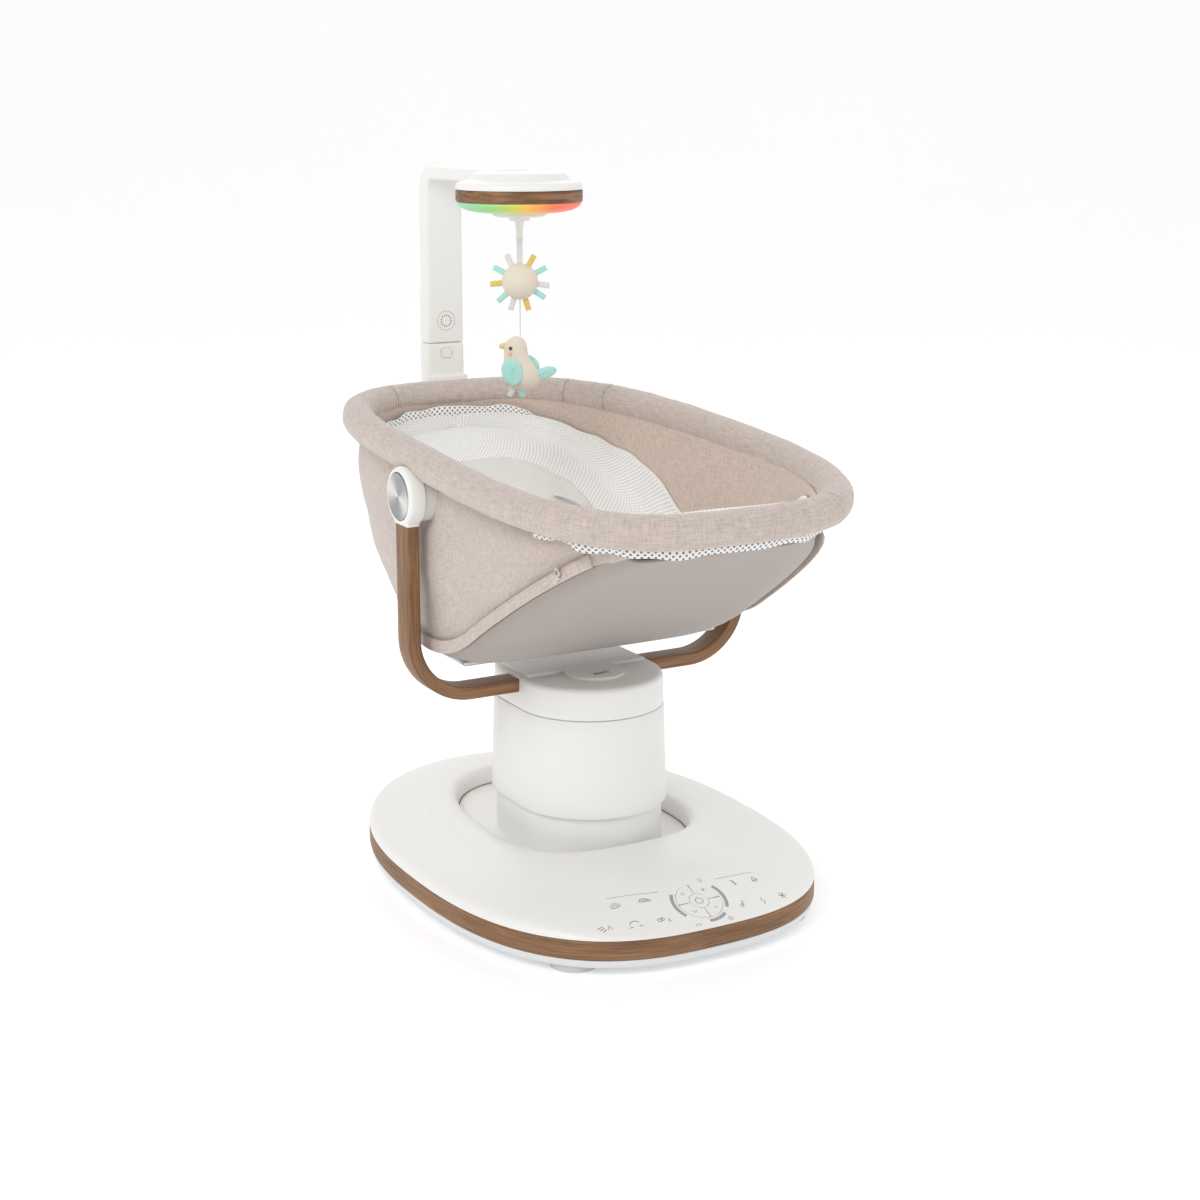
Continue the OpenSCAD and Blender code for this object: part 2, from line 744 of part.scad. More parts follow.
module spin_motor() {
    color("dimgray") {
        rod_z(14, glow_z + 0.2, lamp_z + 4, 0, lamp_y);
        rod_z(2, hang_z + 1, glow_z + 1, 0, lamp_y);
    }
}
module spinner_hub() {
    color("white") translate([0, lamp_y, 0]) difference() {
        union() {
            translate([0, 0, hang_z]) cylinder(r = 10, h = hub_h);
            translate([0, 0, swing_z + gap]) cylinder(r1 = 3, r2 = 6, h = 20);
        }
        translate([0, 0, hang_z + 0.5]) cylinder(r = 2 + run, h = hub_h + 1);
    }
}

// Toys ------------------------------------------------------------------------------------

module at_toys() {
    translate([0, lamp_y, 0]) rotate([0, 0, toy_turn]) children();
}
module toy_ribbon() {
    color("white") at_toys()
        block([-4, 4], [-0.6, 0.6], [sun_z + sun_r + 0.2, swing_z - 0.6]);
}
module sun_ball() {
    color("wheat") at_toys() translate([0, 0, sun_z]) sphere(sun_r);
}
module sun_tabs() {
    color("gold") at_toys() translate([0, 0, sun_z])
        for (turn = [29, 62, 98, 123, 163, 199, 228, 265, 299, 334])
            rotate([0, turn, 0]) block([-4, 4], [-1, 1], [sun_r + 0.2, sun_r + 13]);
}
module bird_cord() {
    sides = 8;
    path = [for (z = [0, 16, 32, cord_len]) [0, 0, bird_z + z]];
    color("white") at_toys() solid_of([for (p = path) [for (j = [0 : sides - 1])
        p + cord_r * [cos(360 * j / sides), sin(360 * j / sides), 0]]], false);
}
module bird_body() {
    color("wheat") at_toys() hull() {
        translate([-2, 0, bird_z - 16]) sphere(15.8, $fn = 32);
        translate([2, 0, bird_z - 50]) sphere(20, $fn = 32);
    }
}
module bird_wings() {
    color("paleturquoise") at_toys() {
        for (side = [-1, 1]) translate([-2, side * 23.5, bird_z - 48])
            rotate([90, 0, 0]) cylinder(r = 14, h = 5, center = true);
        translate([0, -3, 0]) rotate([90, 0, 0]) translate([0, 0, -6]) linear_extrude(6)
            polygon([[23, bird_z - 56], [48, bird_z - 40], [50, bird_z - 50], [23, bird_z - 64]]);
    }
}

base_cover();
base_pan();
wood_band();
base_feet();
base_screws();
slide_rails();
slide_motor();
control_board();
light_arcs();
dc_inlet();
power_button();
ring_key(135);  // motion_up_button
ring_key(225);  // motion_down_button
ring_key(45);  // volume_up_button
ring_key(315);  // volume_down_button
slide_pinion();
carriage_plate();
rail_bushes();
slide_rack();
lower_column();
guide_rods();
lift_motor();
lift_pinion();
upper_column();
column_cap();
lift_bushes();
lift_rack();
yoke_bracket();
yoke_arms();
arm_bolts();
hub_housings();
release_latch();
hub_button_left();
hub_button_right();
pivot_hubs();
rim_frame();
rim_sleeve();
side_fabric();
seat_shell();
liner();
insert_pad();
under_frame();
post_mount();
zip_pull();
post_button();
post_shell();
post_back();
lamp_top();
lamp_ring();
light_diffuser();
lamp_plate();
speaker();
spin_motor();
spinner_hub();
toy_ribbon();
sun_ball();
sun_tabs();
bird_cord();
bird_body();
bird_wings();
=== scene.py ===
"""Looks of the baby swing: soft goods, wood, metal, plastics and toys around its frame."""

import math

import bpy
from mathutils import Matrix, Vector


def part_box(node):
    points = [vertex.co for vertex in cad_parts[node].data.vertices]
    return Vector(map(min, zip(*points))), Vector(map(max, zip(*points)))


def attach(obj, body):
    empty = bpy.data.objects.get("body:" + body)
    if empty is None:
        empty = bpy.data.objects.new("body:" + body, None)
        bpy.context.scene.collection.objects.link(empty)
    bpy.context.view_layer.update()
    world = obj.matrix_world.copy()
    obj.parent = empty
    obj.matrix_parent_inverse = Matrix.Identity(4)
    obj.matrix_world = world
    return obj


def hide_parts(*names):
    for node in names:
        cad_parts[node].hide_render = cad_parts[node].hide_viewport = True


bl_info = {
    "name": "Baby Swing",
    "version": (1, 0, 0),
    "blender": (4, 5, 0),
    "location": "View3D > Sidebar > Baby Swing",
    "description": "Makes the fabrics, wood, metal and toys of a bassinet swing around its frame",
    "category": "Object",
}

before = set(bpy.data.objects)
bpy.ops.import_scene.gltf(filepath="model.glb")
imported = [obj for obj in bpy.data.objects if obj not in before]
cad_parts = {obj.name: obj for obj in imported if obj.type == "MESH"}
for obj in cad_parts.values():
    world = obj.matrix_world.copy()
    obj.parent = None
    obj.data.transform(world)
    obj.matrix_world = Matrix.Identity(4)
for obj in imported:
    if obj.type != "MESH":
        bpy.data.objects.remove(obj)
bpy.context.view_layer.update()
MM = 0.001

# Places that the frame is built on, in millimetres.
HUB_Z, RIM_Z, RIM_Y = 535.0, 577.0, -2.0
RIM_W, RIM_L, RIM_N, RIM_TAPER, RIM_BOW = 222.0, 386.0, 3.1, 8.0, 8.0
RIM_TILT = math.tan(math.radians(4))
BAG_W, BAG_L = 212.0, 372.0
LINER_R, PAD_R = 148, 145.5
FOOT_SLOPE, HEAD_SLOPE = math.radians(32), math.radians(27)
BASE_W, BASE_FRONT, BASE_BACK = 253.0, 346.0, 361.0
FOOT_Z, BAND_Z, COVER_Z, CROWN = 9.0, 21.0, 46.0, 40.0
PANEL_TILT = math.tan(math.radians(22))
PANEL_Y, PANEL_Z = -303.0, 46.0 + 43.0 * PANEL_TILT
COL_R, COL_GAP = 99.0, 30.0
REC_W, REC_FRONT, REC_BACK = 131.0, 133.0, 218.0
PLATE_Z, SLEEVE_Z, CAP_Z, CAP_TOP = 61.5, 116.5, 245.5, 286.5
ARM_X, ARM_W, ARM_T, ARM_BEND, ARM_Z, ARM_TOP = 249.0, 36.0, 17.0, 86.0, 266.5, 505.0
POST_Y, POST_D, POST_W, MOUNT_Z, POST_TOP = 390.0, 28.0, 57.0, 671.0, 921.0
LAMP_Y = 158.0
TOY_TURN, VIEW_TURN = math.radians(-29), math.radians(-29.461)
SUN_Z, SUN_R, BIRD_TOP = 775.7, 24.0, 703.0
CORD_TOP, CORD_LENGTH = 751.7, 0.048


# Settings ---------------------------------------------------------------------------------


def colour_setting(name, description, default):
    return bpy.props.FloatVectorProperty(name=name, description=description, subtype="COLOR",
                                         default=default, min=0, max=1)


def length_setting(name, description, default, low, high):
    return bpy.props.FloatProperty(name=name, description=description, subtype="DISTANCE",
                                   unit="LENGTH", default=default, min=low, max=high)


class SwingColours(bpy.types.PropertyGroup):
    """Finishes of the swing"""

    shell: colour_setting(
        "Shell", "White plastic of the base, column and post", (0.86, 0.855, 0.83))
    linen: colour_setting("Linen", "Woven cover of the rim and the sides", (0.56, 0.478, 0.43))
    taupe: colour_setting("Foot panel", "Smooth fabric of the foot-end shell", (0.37, 0.325, 0.295))
    walnut_light: colour_setting("Walnut, light", "Light streaks of the wood", (0.31, 0.160, 0.073))
    walnut_dark: colour_setting("Walnut, dark", "Dark grain of the wood", (0.135, 0.064, 0.029))
    teal: colour_setting("Teal felt", "Wings, tail and ribbons of the toys", (0.47, 0.82, 0.75))
    cream: colour_setting("Cream felt", "Cloth of the sun and the bird", (0.82, 0.745, 0.63))


class SwingSizes(bpy.types.PropertyGroup):
    """Sizes of the soft goods"""

    rim_radius: length_setting(
        "Rim padding", "Radius of the padded rim", 0.022, 0.018, 0.023)
    bulge: length_setting(
        "Side bulge", "How far the side fabric swells out", 0.006, 0, 0.009)
    pad_rise: length_setting(
        "Insert crown", "Crown of the seat insert", 0.010, 0.002, 0.014)


def colours():
    return bpy.context.scene.swing_colours


def sizes():
    return bpy.context.scene.swing_sizes


# Shapes the pieces share -------------------------------------------------------------------


def sup(value, power):
    """Point on a rounded outline of the given fullness."""
    return math.copysign(abs(value) ** (2 / power), value)


def smooth(edge0, edge1, x):
    t = min(1.0, max(0.0, (x - edge0) / (edge1 - edge0)))
    return t * t * (3 - 2 * t)


def between(table, x):
    """Smooth value from a table of (place, value)."""
    if x <= table[0][0]:
        return table[0][1]
    for (x0, y0), (x1, y1) in zip(table, table[1:]):
        if x <= x1:
            t = (x - x0) / (x1 - x0)
            return y0 + (y1 - y0) * t * t * (3 - 2 * t)
    return table[-1][1]


def rim_line(y):
    """Height of the rim's middle line."""
    return RIM_Z + (y - RIM_Y) * RIM_TILT - RIM_BOW * ((y - RIM_Y) / RIM_L) ** 2


def rim_point(angle):
    y = RIM_L * sup(math.sin(angle), RIM_N)
    w = RIM_W - RIM_TAPER * y / RIM_L
    return Vector((w * sup(math.cos(angle), RIM_N), y + RIM_Y, rim_line(y + RIM_Y)))


def floor_line(y, radius):
    """Height of the bag's bottom, at a radius about the hub axis."""
    if y < -radius * math.sin(FOOT_SLOPE):
        return (HUB_Z - radius * math.cos(FOOT_SLOPE)
                + (-y - radius * math.sin(FOOT_SLOPE)) * math.tan(FOOT_SLOPE))
    if y > radius * math.sin(HEAD_SLOPE):
        return (HUB_Z - radius * math.cos(HEAD_SLOPE)
                + (y - radius * math.sin(HEAD_SLOPE)) * math.tan(HEAD_SLOPE))
    return HUB_Z - math.sqrt(radius * radius - y * y)


def bag_half(y, inset=0.0):
    share = min(1.0, abs(y - RIM_Y) / (BAG_L - inset))
    return (BAG_W - inset) * (1 - share ** RIM_N) ** (1 / RIM_N)


def outline(width, front, back, full_front, full_back, steps=144):
    """A rounded outline about the origin, fuller at the front than at the back."""
    points = []
    for i in range(steps):
        t = 2 * math.pi * i / steps
        s = math.sin(t)
        full = full_front if s < 0 else full_back
        points.append((width * sup(math.cos(t), full), (front if s < 0 else back) * sup(s, full)))
    return points


def base_outline(inset, steps=144):
    return outline(BASE_W - inset, BASE_FRONT - inset, BASE_BACK - inset, 2.7, 2.15, steps)


def recess_outline(grow):
    return outline(REC_W + grow, REC_FRONT + grow, REC_BACK + grow, 3, 2.4)


# Rise of the cover over its edge at the sides, by the distance in from the edge.
SIDE_RISE = [(0, 0), (0.6, 3), (1.5, 6), (3, 8.6), (5, 11), (8, 13.2), (12, 15), (18, 17.6),
             (26, 20.4), (40, 24.6), (60, 29.6), (80, 34), (100, 37.6), (120, 40)]


def straight(table, x):
    if x <= table[0][0]:
        return table[0][1]
    for (x0, y0), (x1, y1) in zip(table, table[1:]):
        if x <= x1:
            return y0 + (y1 - y0) * (x - x0) / (x1 - x0)
    return table[-1][1]


def cover_rise(inset, turn):
    """Height of the cover over its edge: low at the front, steep at the sides."""
    off = (turn % 360 - 270) / 40
    share = math.exp(-off * off)
    front = min(inset * PANEL_TILT, CROWN - (120 - min(120, inset)) * 0.07)
    return share * front + (1 - share) * straight(SIDE_RISE, inset)


def panel_flat(x, y, z):
    """Blends the cover into the control panel's plane close to the panel."""
    far = math.hypot(x, (y - PANEL_Y) * 1.08)
    share = 1 - smooth(44, 66, far)
    return z + (PANEL_Z + (y - PANEL_Y) * PANEL_TILT - z) * share


def cover_height(x, y):
    """Height of the cover's top at a place near its front."""
    low, high = 0.0, 200.0
    for _ in range(40):
        d = (low + high) / 2
        inside = (abs(x) / (BASE_W - d)) ** 2.7 + (abs(y) / (BASE_FRONT - d)) ** 2.7 < 1
        low, high = (d, high) if inside else (low, d)
    c = math.copysign((abs(x) / (BASE_W - d)) ** 1.35, x)
    s = -((abs(y) / (BASE_FRONT - d)) ** 1.35)
    return panel_flat(x, y, COVER_Z + cover_rise(d, math.degrees(math.atan2(s, c))))


def stadium(r, z, steps=96):
    """Outline of the column: a circle drawn apart along the swing."""
    points = []
    for i in range(steps):
        t = 2 * math.pi * (i + 0.5) / steps
        points.append((r * math.cos(t), r * math.sin(t) + math.copysign(COL_GAP, math.sin(t)), z))
    return points


def wobble(x, y, z, scale):
    """Gentle lasting unevenness of hand-sewn cloth, from -1 to 1."""
    return (math.sin(x / scale * 1.7 + 1.3 * math.sin(y / scale))
            + math.sin(y / scale * 1.3 + 1.7 * math.sin(z / scale + 0.6))
            + math.sin(z / scale * 1.9 + 1.1 * math.sin(x / scale + 2.1))) / 3


# Making meshes -----------------------------------------------------------------------------


def deselect():
    if bpy.context.object and bpy.context.object.mode != "OBJECT":
        bpy.ops.object.mode_set(mode="OBJECT")
    bpy.ops.object.select_all(action="DESELECT")


def only(obj):
    deselect()
    obj.select_set(True)
    bpy.context.view_layer.objects.active = obj


def modify(obj, kind, **values):
    """Adds one modifier and applies it."""
    only(obj)
    mod = obj.modifiers.new(kind.title(), kind)
    for key, value in values.items():
        setattr(mod, key, value)
    bpy.ops.object.modifier_apply(modifier=mod.name)
    return obj


def round_off(obj, width, segments=3, angle=35):
    modify(obj, "BEVEL", width=width * MM, segments=segments, limit_method="ANGLE",
           angle_limit=math.radians(angle))
    return obj


def smoothed(obj, angle=None):
    only(obj)
    if angle is None:
        bpy.ops.object.shade_smooth()
    else:
        bpy.ops.object.shade_smooth_by_angle(angle=math.radians(angle))
    return obj


def outwards(obj):
    """Merges doubles and turns every face outwards."""
    only(obj)
    bpy.ops.object.mode_set(mode="EDIT")
    bpy.ops.mesh.select_all(action="SELECT")
    bpy.ops.mesh.remove_doubles(threshold=0.00001)
    bpy.ops.mesh.normals_make_consistent(inside=False)
    bpy.ops.object.mode_set(mode="OBJECT")
    return obj


def place_in_mesh(obj):
    only(obj)
    bpy.ops.object.transform_apply(location=True, rotation=True, scale=True)
    return obj


def linked(name, data):
    """Puts a new object in the scene."""
    obj = bpy.data.objects.new(name, data)
    bpy.context.scene.collection.objects.link(obj)
    return obj


def new_mesh(name, points, faces, uv=None):
    """A mesh from points in millimetres."""
    mesh = bpy.data.meshes.new(name)
    mesh.from_pydata([(p[0] * MM, p[1] * MM, p[2] * MM) for p in points], [], faces)
    if uv:
        layer = mesh.uv_layers.new(name="UVMap")
        for loop, place in zip(layer.data, (c for face in uv for c in face)):
            loop.uv = place
    mesh.update()
    return linked(name, mesh)


def loft(name, rings, around=True, along=False, ends=(False, False)):
    """Skin over rings of points, with a UV map in metres along the rings and around them."""
    n, m = len(rings[0]), len(rings)
    points = [Vector(p) for ring in rings for p in ring]
    run = [0.0]
    for k in range(1, m + 1):
        a, b = rings[k - 1], rings[k % m]
        run.append(run[-1] + sum((Vector(p) - Vector(q)).length for p, q in zip(a, b)) / n)
    widest = max(rings, key=lambda r: sum((Vector(p) - Vector(q)).length for p, q in zip(r, r[1:])))
    turn = [0.0]
    for j in range(1, n + 1):
        turn.append(turn[-1] + (Vector(widest[j - 1]) - Vector(widest[j % n])).length)
    faces, uv = [], []
    for k in range(m if along else m - 1):
        for j in range(n if around else n - 1):
            k2, j2 = (k + 1) % m, (j + 1) % n
            faces.append((k * n + j, k * n + j2, k2 * n + j2, k2 * n + j))
            uv.append([(run[k] * MM, turn[j] * MM), (run[k] * MM, turn[j + 1] * MM),
                       (run[k + 1] * MM, turn[j + 1] * MM), (run[k + 1] * MM, turn[j] * MM)])
    for ring, (use, order) in ((0, (ends[0], -1)), (m - 1, (ends[1], 1))):
        if use:
            middle = sum((Vector(p) for p in rings[ring]), Vector()) / n
            points.append(middle)
            hub = len(points) - 1
            for j in range(n):
                a, b = ring * n + j, ring * n + (j + 1) % n
                faces.append((a, b, hub) if order > 0 else (b, a, hub))
                uv.append([(points[i].x * MM, points[i].y * MM) for i in faces[-1]])
    return new_mesh(name, points, faces, uv)


def turned(name, profile, x=0.0, y=0.0, steps=96, axis="Z"):
    """A profile of (radius, height) spun round an upright or sideways axis."""
    mesh = bpy.data.meshes.new(name)
    place = [(r * MM, 0, h * MM) for r, h in profile]
    mesh.from_pydata(place, [(i, i + 1) for i in range(len(place) - 1)], [])
    obj = linked(name, mesh)
    only(obj)
    bpy.ops.object.mode_set(mode="EDIT")
    bpy.ops.mesh.select_all(action="SELECT")
    bpy.ops.mesh.spin(steps=steps, angle=2 * math.pi, center=(0, 0, 0), axis=(0, 0, 1))
    bpy.ops.mesh.select_all(action="SELECT")
    bpy.ops.mesh.remove_doubles(threshold=0.00001)
    bpy.ops.mesh.normals_make_consistent(inside=False)
    bpy.ops.object.mode_set(mode="OBJECT")
    if axis == "X":
        mesh.transform(Matrix.Rotation(math.radians(90), 4, "Y"))
    mesh.transform(Matrix.Translation((x * MM, y * MM, 0)))
    return smoothed(obj, 40)


def box(name, x, y, z, bevel=1.0, segments=3):
    """A block between two corners with rounded edges."""
    deselect()
    bpy.ops.mesh.primitive_cube_add(size=1)
    obj = bpy.context.object
    obj.name = name
    obj.scale = ((x[1] - x[0]) * MM, (y[1] - y[0]) * MM, (z[1] - z[0]) * MM)
    obj.location = ((x[0] + x[1]) / 2 * MM, (y[0] + y[1]) / 2 * MM, (z[0] + z[1]) / 2 * MM)
    place_in_mesh(obj)
    if bevel:
        round_off(obj, bevel, segments)
    return smoothed(obj, 30)


def thicken(obj, thickness, offset=0):
    modify(obj, "SOLIDIFY", thickness=thickness * MM, offset=offset)


def cut(obj, cutter):
    modify(obj, "BOOLEAN", operation="DIFFERENCE", solver="EXACT", object=cutter)
    bpy.data.objects.remove(cutter)
    return obj


def joined(name, parts):
    """Joins pieces into the first one."""
    deselect()
    for part in parts:
        part.select_set(True)
    bpy.context.view_layer.objects.active = parts[0]
    bpy.ops.object.join()
    obj = bpy.context.object
    obj.name = name
    return obj


def finish(obj, name, body, finish_name, replaces=()):
    """Names a piece, gives it its finish and its body."""
    obj.name = obj.data.name = name
    if finish_name:
        obj.data.materials.clear()
        obj.data.materials.append(material(finish_name))
    deselect()
    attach(obj, body)
    if replaces:
        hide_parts(*replaces)
    return obj


# Finishes ----------------------------------------------------------------------------------


class Wire:
    """A shader socket that ordinary arithmetic works on."""

    def __init__(self, look, socket):
        self.look, self.socket = look, socket

    def math(self, operation, *values):
        return self.look.node("ShaderNodeMath", {"operation": operation},
                              dict(enumerate((self,) + values)))[0]

    def __add__(self, other):
        return self.math("ADD", other)

    def __sub__(self, other):
        return self.math("SUBTRACT", other)

    def __mul__(self, other):
        return self.math("MULTIPLY", other)

    def __truediv__(self, other):
        return self.math("DIVIDE", other)

    def __pow__(self, other):
        return self.math("POWER", other)

    def __rsub__(self, other):
        return self.look.value("SUBTRACT", other, self)

    def __rtruediv__(self, other):
        return self.look.value("DIVIDE", other, self)

    __radd__, __rmul__ = __add__, __mul__

    def sine(self):
        return self.math("SINE")

    def clamp(self):
        return self.look.node("ShaderNodeClamp", {}, {0: self})[0]

    def step(self, low, high):
        return self.look.node("ShaderNodeMapRange", {"interpolation_type": "SMOOTHSTEP"},
                              {0: self, 1: low, 2: high, 3: 0.0, 4: 1.0})[0]


class Look:
    """One procedural material."""

    def __init__(self, name, **constants):
        self.material = bpy.data.materials.new(name)
        self.material.use_nodes = True
        self.tree = self.material.node_tree
        self.shader = self.tree.nodes["Principled BSDF"]
        for key, value in constants.items():
            label = key.replace("_", " ").title().replace("Ior", "IOR")
            self.shader.inputs[label].default_value = value

    def node(self, kind, settings, inputs):
        made = self.tree.nodes.new(kind)
        stops = settings.pop("stops", None)
        for key, value in settings.items():
            setattr(made, key, value)
        if stops:
            ramp = made.color_ramp
            while len(ramp.elements) < len(stops):
                ramp.elements.new(0.5)
            for element, (place, colour) in zip(ramp.elements, stops):
                element.position = place
                element.color = (*colour, 1)
        for key, value in inputs.items():
            if isinstance(value, Wire):
                self.tree.links.new(value.socket, made.inputs[key])
            else:
                made.inputs[key].default_value = value
        return [Wire(self, s) for s in made.outputs]

    def value(self, operation, first, second):
        return self.node("ShaderNodeMath", {"operation": operation}, {0: first, 1: second})[0]

    def place(self):
        return self.node("ShaderNodeTexCoord", {}, {})[3]

    def uv(self):
        return self.node("ShaderNodeUVMap", {"uv_map": "UVMap"}, {})[0]

    def parts(self, vector):
        return self.node("ShaderNodeSeparateXYZ", {}, {0: vector})

    def joined(self, x, y, z):
        return self.node("ShaderNodeCombineXYZ", {}, {0: x, 1: y, 2: z})[0]

    def stretched(self, vector, scale):
        return self.node("ShaderNodeVectorMath", {"operation": "MULTIPLY"},
                         {0: vector, 1: scale})[0]

    def noise(self, vector, scale, detail=3.0, rough=0.5):
        return self.node("ShaderNodeTexNoise", {}, {"Vector": vector, "Scale": scale,
                         "Detail": detail, "Roughness": rough})[0]

    def mix(self, share, first, second, blend="MIX"):
        first = first if isinstance(first, Wire) else (*first, 1)
        second = second if isinstance(second, Wire) else (*second, 1)
        return self.node("ShaderNodeMix", {"data_type": "RGBA", "blend_type": blend},
                         {0: share, 6: first, 7: second})[2]

    def tinted(self, share, colour, low, high):
        """A colour that drifts between two shades of itself."""
        return self.mix(share, shade(colour, low), shade(colour, high))

    def ramp(self, share, stops, interpolation="LINEAR"):
        made = self.node("ShaderNodeValToRGB", {"stops": stops}, {0: share})[0]
        made.socket.node.color_ramp.interpolation = interpolation
        return made

    def send(self, name, wire):
        self.tree.links.new(wire.socket, self.shader.inputs[name])

    def bump(self, height, strength, distance):
        self.send("Normal", self.node("ShaderNodeBump", {}, {
            "Height": height, "Strength": strength, "Distance": distance})[0])


def shade(colour, factor):
    return tuple(min(1.0, c * factor) for c in colour)


def plastic(name, colour, rough=0.36, grain=0.06, coat=0.0):
    """Moulded plastic with a fine spark-eroded grain and faint handling marks."""
    look = Look(name, ior=1.46, coat_weight=coat)
    place = look.place()
    cloud = look.noise(place, 9.0, 4.0)
    fine = look.noise(place, 1600.0, 2.0)
    look.send("Base Color", look.tinted(cloud, colour, 0.975, 1.02))
    look.send("Roughness", rough + (cloud - 0.5) * 0.12 + (fine - 0.5) * 0.05)
    look.bump(fine, grain, 0.0002)
    return look.material


def walnut(name, along):
    """Oiled walnut: streaks, pores and slow colour drift along the grain."""
    look = Look(name, ior=1.45, coat_roughness=0.35)
    light, dark = tuple(colours().walnut_light), tuple(colours().walnut_dark)
    if along == "uv":
        grain = look.stretched(look.uv(), (1.0, 14.0, 1.0))
        cross = look.stretched(look.uv(), (6.0, 260.0, 1.0))
    else:
        grain = look.stretched(look.place(), (1.0, 1.0, 16.0))
        cross = look.stretched(look.place(), (8.0, 8.0, 300.0))
    drift = look.noise(grain, 5.0, 4.0, 0.6)
    rings = look.noise(look.stretched(grain, (1.6, 5.0, 1.6)), 9.0, 5.0, 0.62)
    pores = look.noise(cross, 14.0, 3.0, 0.7)
    streak = (rings * 3.4 + drift * 1.4 - 1.85).clamp()
    colour = look.mix(streak, dark, light)
    colour = look.mix(pores.step(0.62, 0.74) * 0.5, colour, shade(dark, 0.55))
    colour = look.mix(drift.step(0.5, 0.75) * 0.35, colour, shade(light, 1.25))
    look.send("Base Color", colour)
    look.send("Roughness", 0.46 + pores * 0.14 - streak * 0.05)
    look.bump(1 - pores.step(0.6, 0.72) * 0.8 + rings * 0.2, 0.25, 0.0004)
    return look.material


def woven(name, colour, thread=0.0016, contrast=0.34, fuzz=0.5, bump=0.4):
    """Melange plain weave with slubs, read from the piece's own UV map in metres."""
    look = Look(name, roughness=0.9, sheen_weight=0.35, sheen_roughness=0.5,
                specular_ior_level=0.25)
    uv = look.uv()
    u, v, _ = look.parts(uv)
    waves = 2 * math.pi / thread
    warp = (u * waves).sine()
    weft = (v * waves).sine()
    weave = warp * weft * 0.5 + 0.5
    slub_a = look.noise(look.stretched(uv, (1.0, 9.0, 1.0)), 48.0, 4.0, 0.7)
    slub_b = look.noise(look.stretched(uv, (9.0, 1.0, 1.0)), 48.0, 4.0, 0.7)
    cloud = look.noise(uv, 14.0, 4.0)
    threads = slub_a * 0.5 + slub_b * 0.5
    tone = look.mix((threads * 3.0 - 1.0).clamp(), shade(colour, 1 - contrast),
                    shade(colour, 1 + contrast))
    tone = look.mix(cloud.step(0.3, 0.8) * 0.3, tone, shade(colour, 0.9))
    tone = look.mix(weave * fuzz * 0.35, tone, shade(colour, 1.22))
    look.send("Base Color", tone)
    look.send("Roughness", 0.84 + weave * 0.1)
    look.bump(weave * 0.6 + threads * 0.9, bump, 0.0006)
    return look.material


def spacer_mesh(name, colour, hole, size=0.0034, depth=0.45):
    """Knitted spacer mesh: rows of small lens-shaped holes."""
    look = Look(name, roughness=0.85, sheen_weight=0.2, specular_ior_level=0.3)
    uv = look.uv()
    u, v, _ = look.parts(uv)
    waves = 2 * math.pi / size
    holes = ((u * waves).sine() * (v * waves).sine()).step(0.18, 0.62)
    cloud = look.noise(uv, 18.0, 3.0)
    look.send("Base Color", look.mix(holes * depth,
              look.tinted(cloud, colour, 0.97, 1.02), hole))
    look.send("Roughness", 0.8 + holes * 0.12)
    look.bump(1 - holes, 0.6, 0.001)
    return look.material


def smooth_cloth(name, colour):
    """Fine stretch fabric laminated on foam: nearly plain, with a faint twill."""
    look = Look(name, roughness=0.72, sheen_weight=0.25, specular_ior_level=0.35)
    place = look.place()
    x, y, z = look.parts(place)
    twill = ((x + y * 0.6 + z * 0.8) * (2 * math.pi / 0.0011)).sine() * 0.5 + 0.5
    cloud = look.noise(place, 7.0, 4.0)
    fine = look.noise(place, 900.0, 2.0)
    look.send("Base Color", look.mix(twill * 0.25 + fine * 0.3,
              look.tinted(cloud, colour, 0.95, 1.05), shade(colour, 1.12)))
    look.send("Roughness", 0.66 + fine * 0.14)
    look.bump(twill * 0.4 + fine * 0.6, 0.12, 0.0004)
    return look.material


def felt(name, colour):
    """Short-napped toy cloth."""
    look = Look(name, roughness=0.95, sheen_weight=0.5, sheen_roughness=0.4,
                specular_ior_level=0.15)
    place = look.place()
    nap = look.noise(place, 700.0, 4.0, 0.7)
    cloud = look.noise(place, 60.0, 3.0)
    look.send("Base Color", look.tinted(nap, colour, 0.86, 1.1))
    look.send("Roughness", 0.88 + cloud * 0.1)
    look.bump(nap, 0.5, 0.0008)
    return look.material


def ribbon(name, colour):
    """Grosgrain ribbon with its fine cross ribs."""
    look = Look(name, roughness=0.6, sheen_weight=0.2)
    place = look.place()
    x, y, z = look.parts(place)
    ribs = ((x * 0.6 + z) * (2 * math.pi / 0.0009)).sine() * 0.5 + 0.5
    cloud = look.noise(place, 160.0, 3.0)
    look.send("Base Color", look.tinted(ribs * 0.5 + cloud * 0.3, colour, 0.9, 1.06))
    look.send("Roughness", 0.52 + cloud * 0.2)
    look.bump(ribs, 0.3, 0.0004)
    return look.material


def brushed(name, centre_y=0.0, centre_z=HUB_Z * MM):
    """Spun aluminium: rings of fine scratches, and a fan of light and dark sectors that is painted
    highlight and painted shade.
    """
    look = Look(name, metallic=1.0, ior=1.5)
    place = look.place()
    x, y, z = look.parts(place)
    dy, dz = y - centre_y, z - centre_z
    turn = look.value("ARCTAN2", dz, dy)
    far = (dy * dy + dz * dz) ** 0.5
    rings = look.noise(look.joined(far * 9000.0, turn * 1.2, 0.0), 1.0, 2.0)
    # Painted highlight and painted shade: a fan of light and dark sectors round the disc's centre;
    # the rings are its scratches.
    highlight_fan = ((turn * 2.0 + 0.9).sine() * 0.5 + 0.5) ** 2.0
    look.send("Base Color", look.mix(highlight_fan * 0.75 + rings * 0.2, (0.30, 0.30, 0.31),
              (0.86, 0.86, 0.85)))
    look.send("Roughness", 0.3 + rings * 0.16)
    look.bump(rings, 0.12, 0.0001)
    return look.material


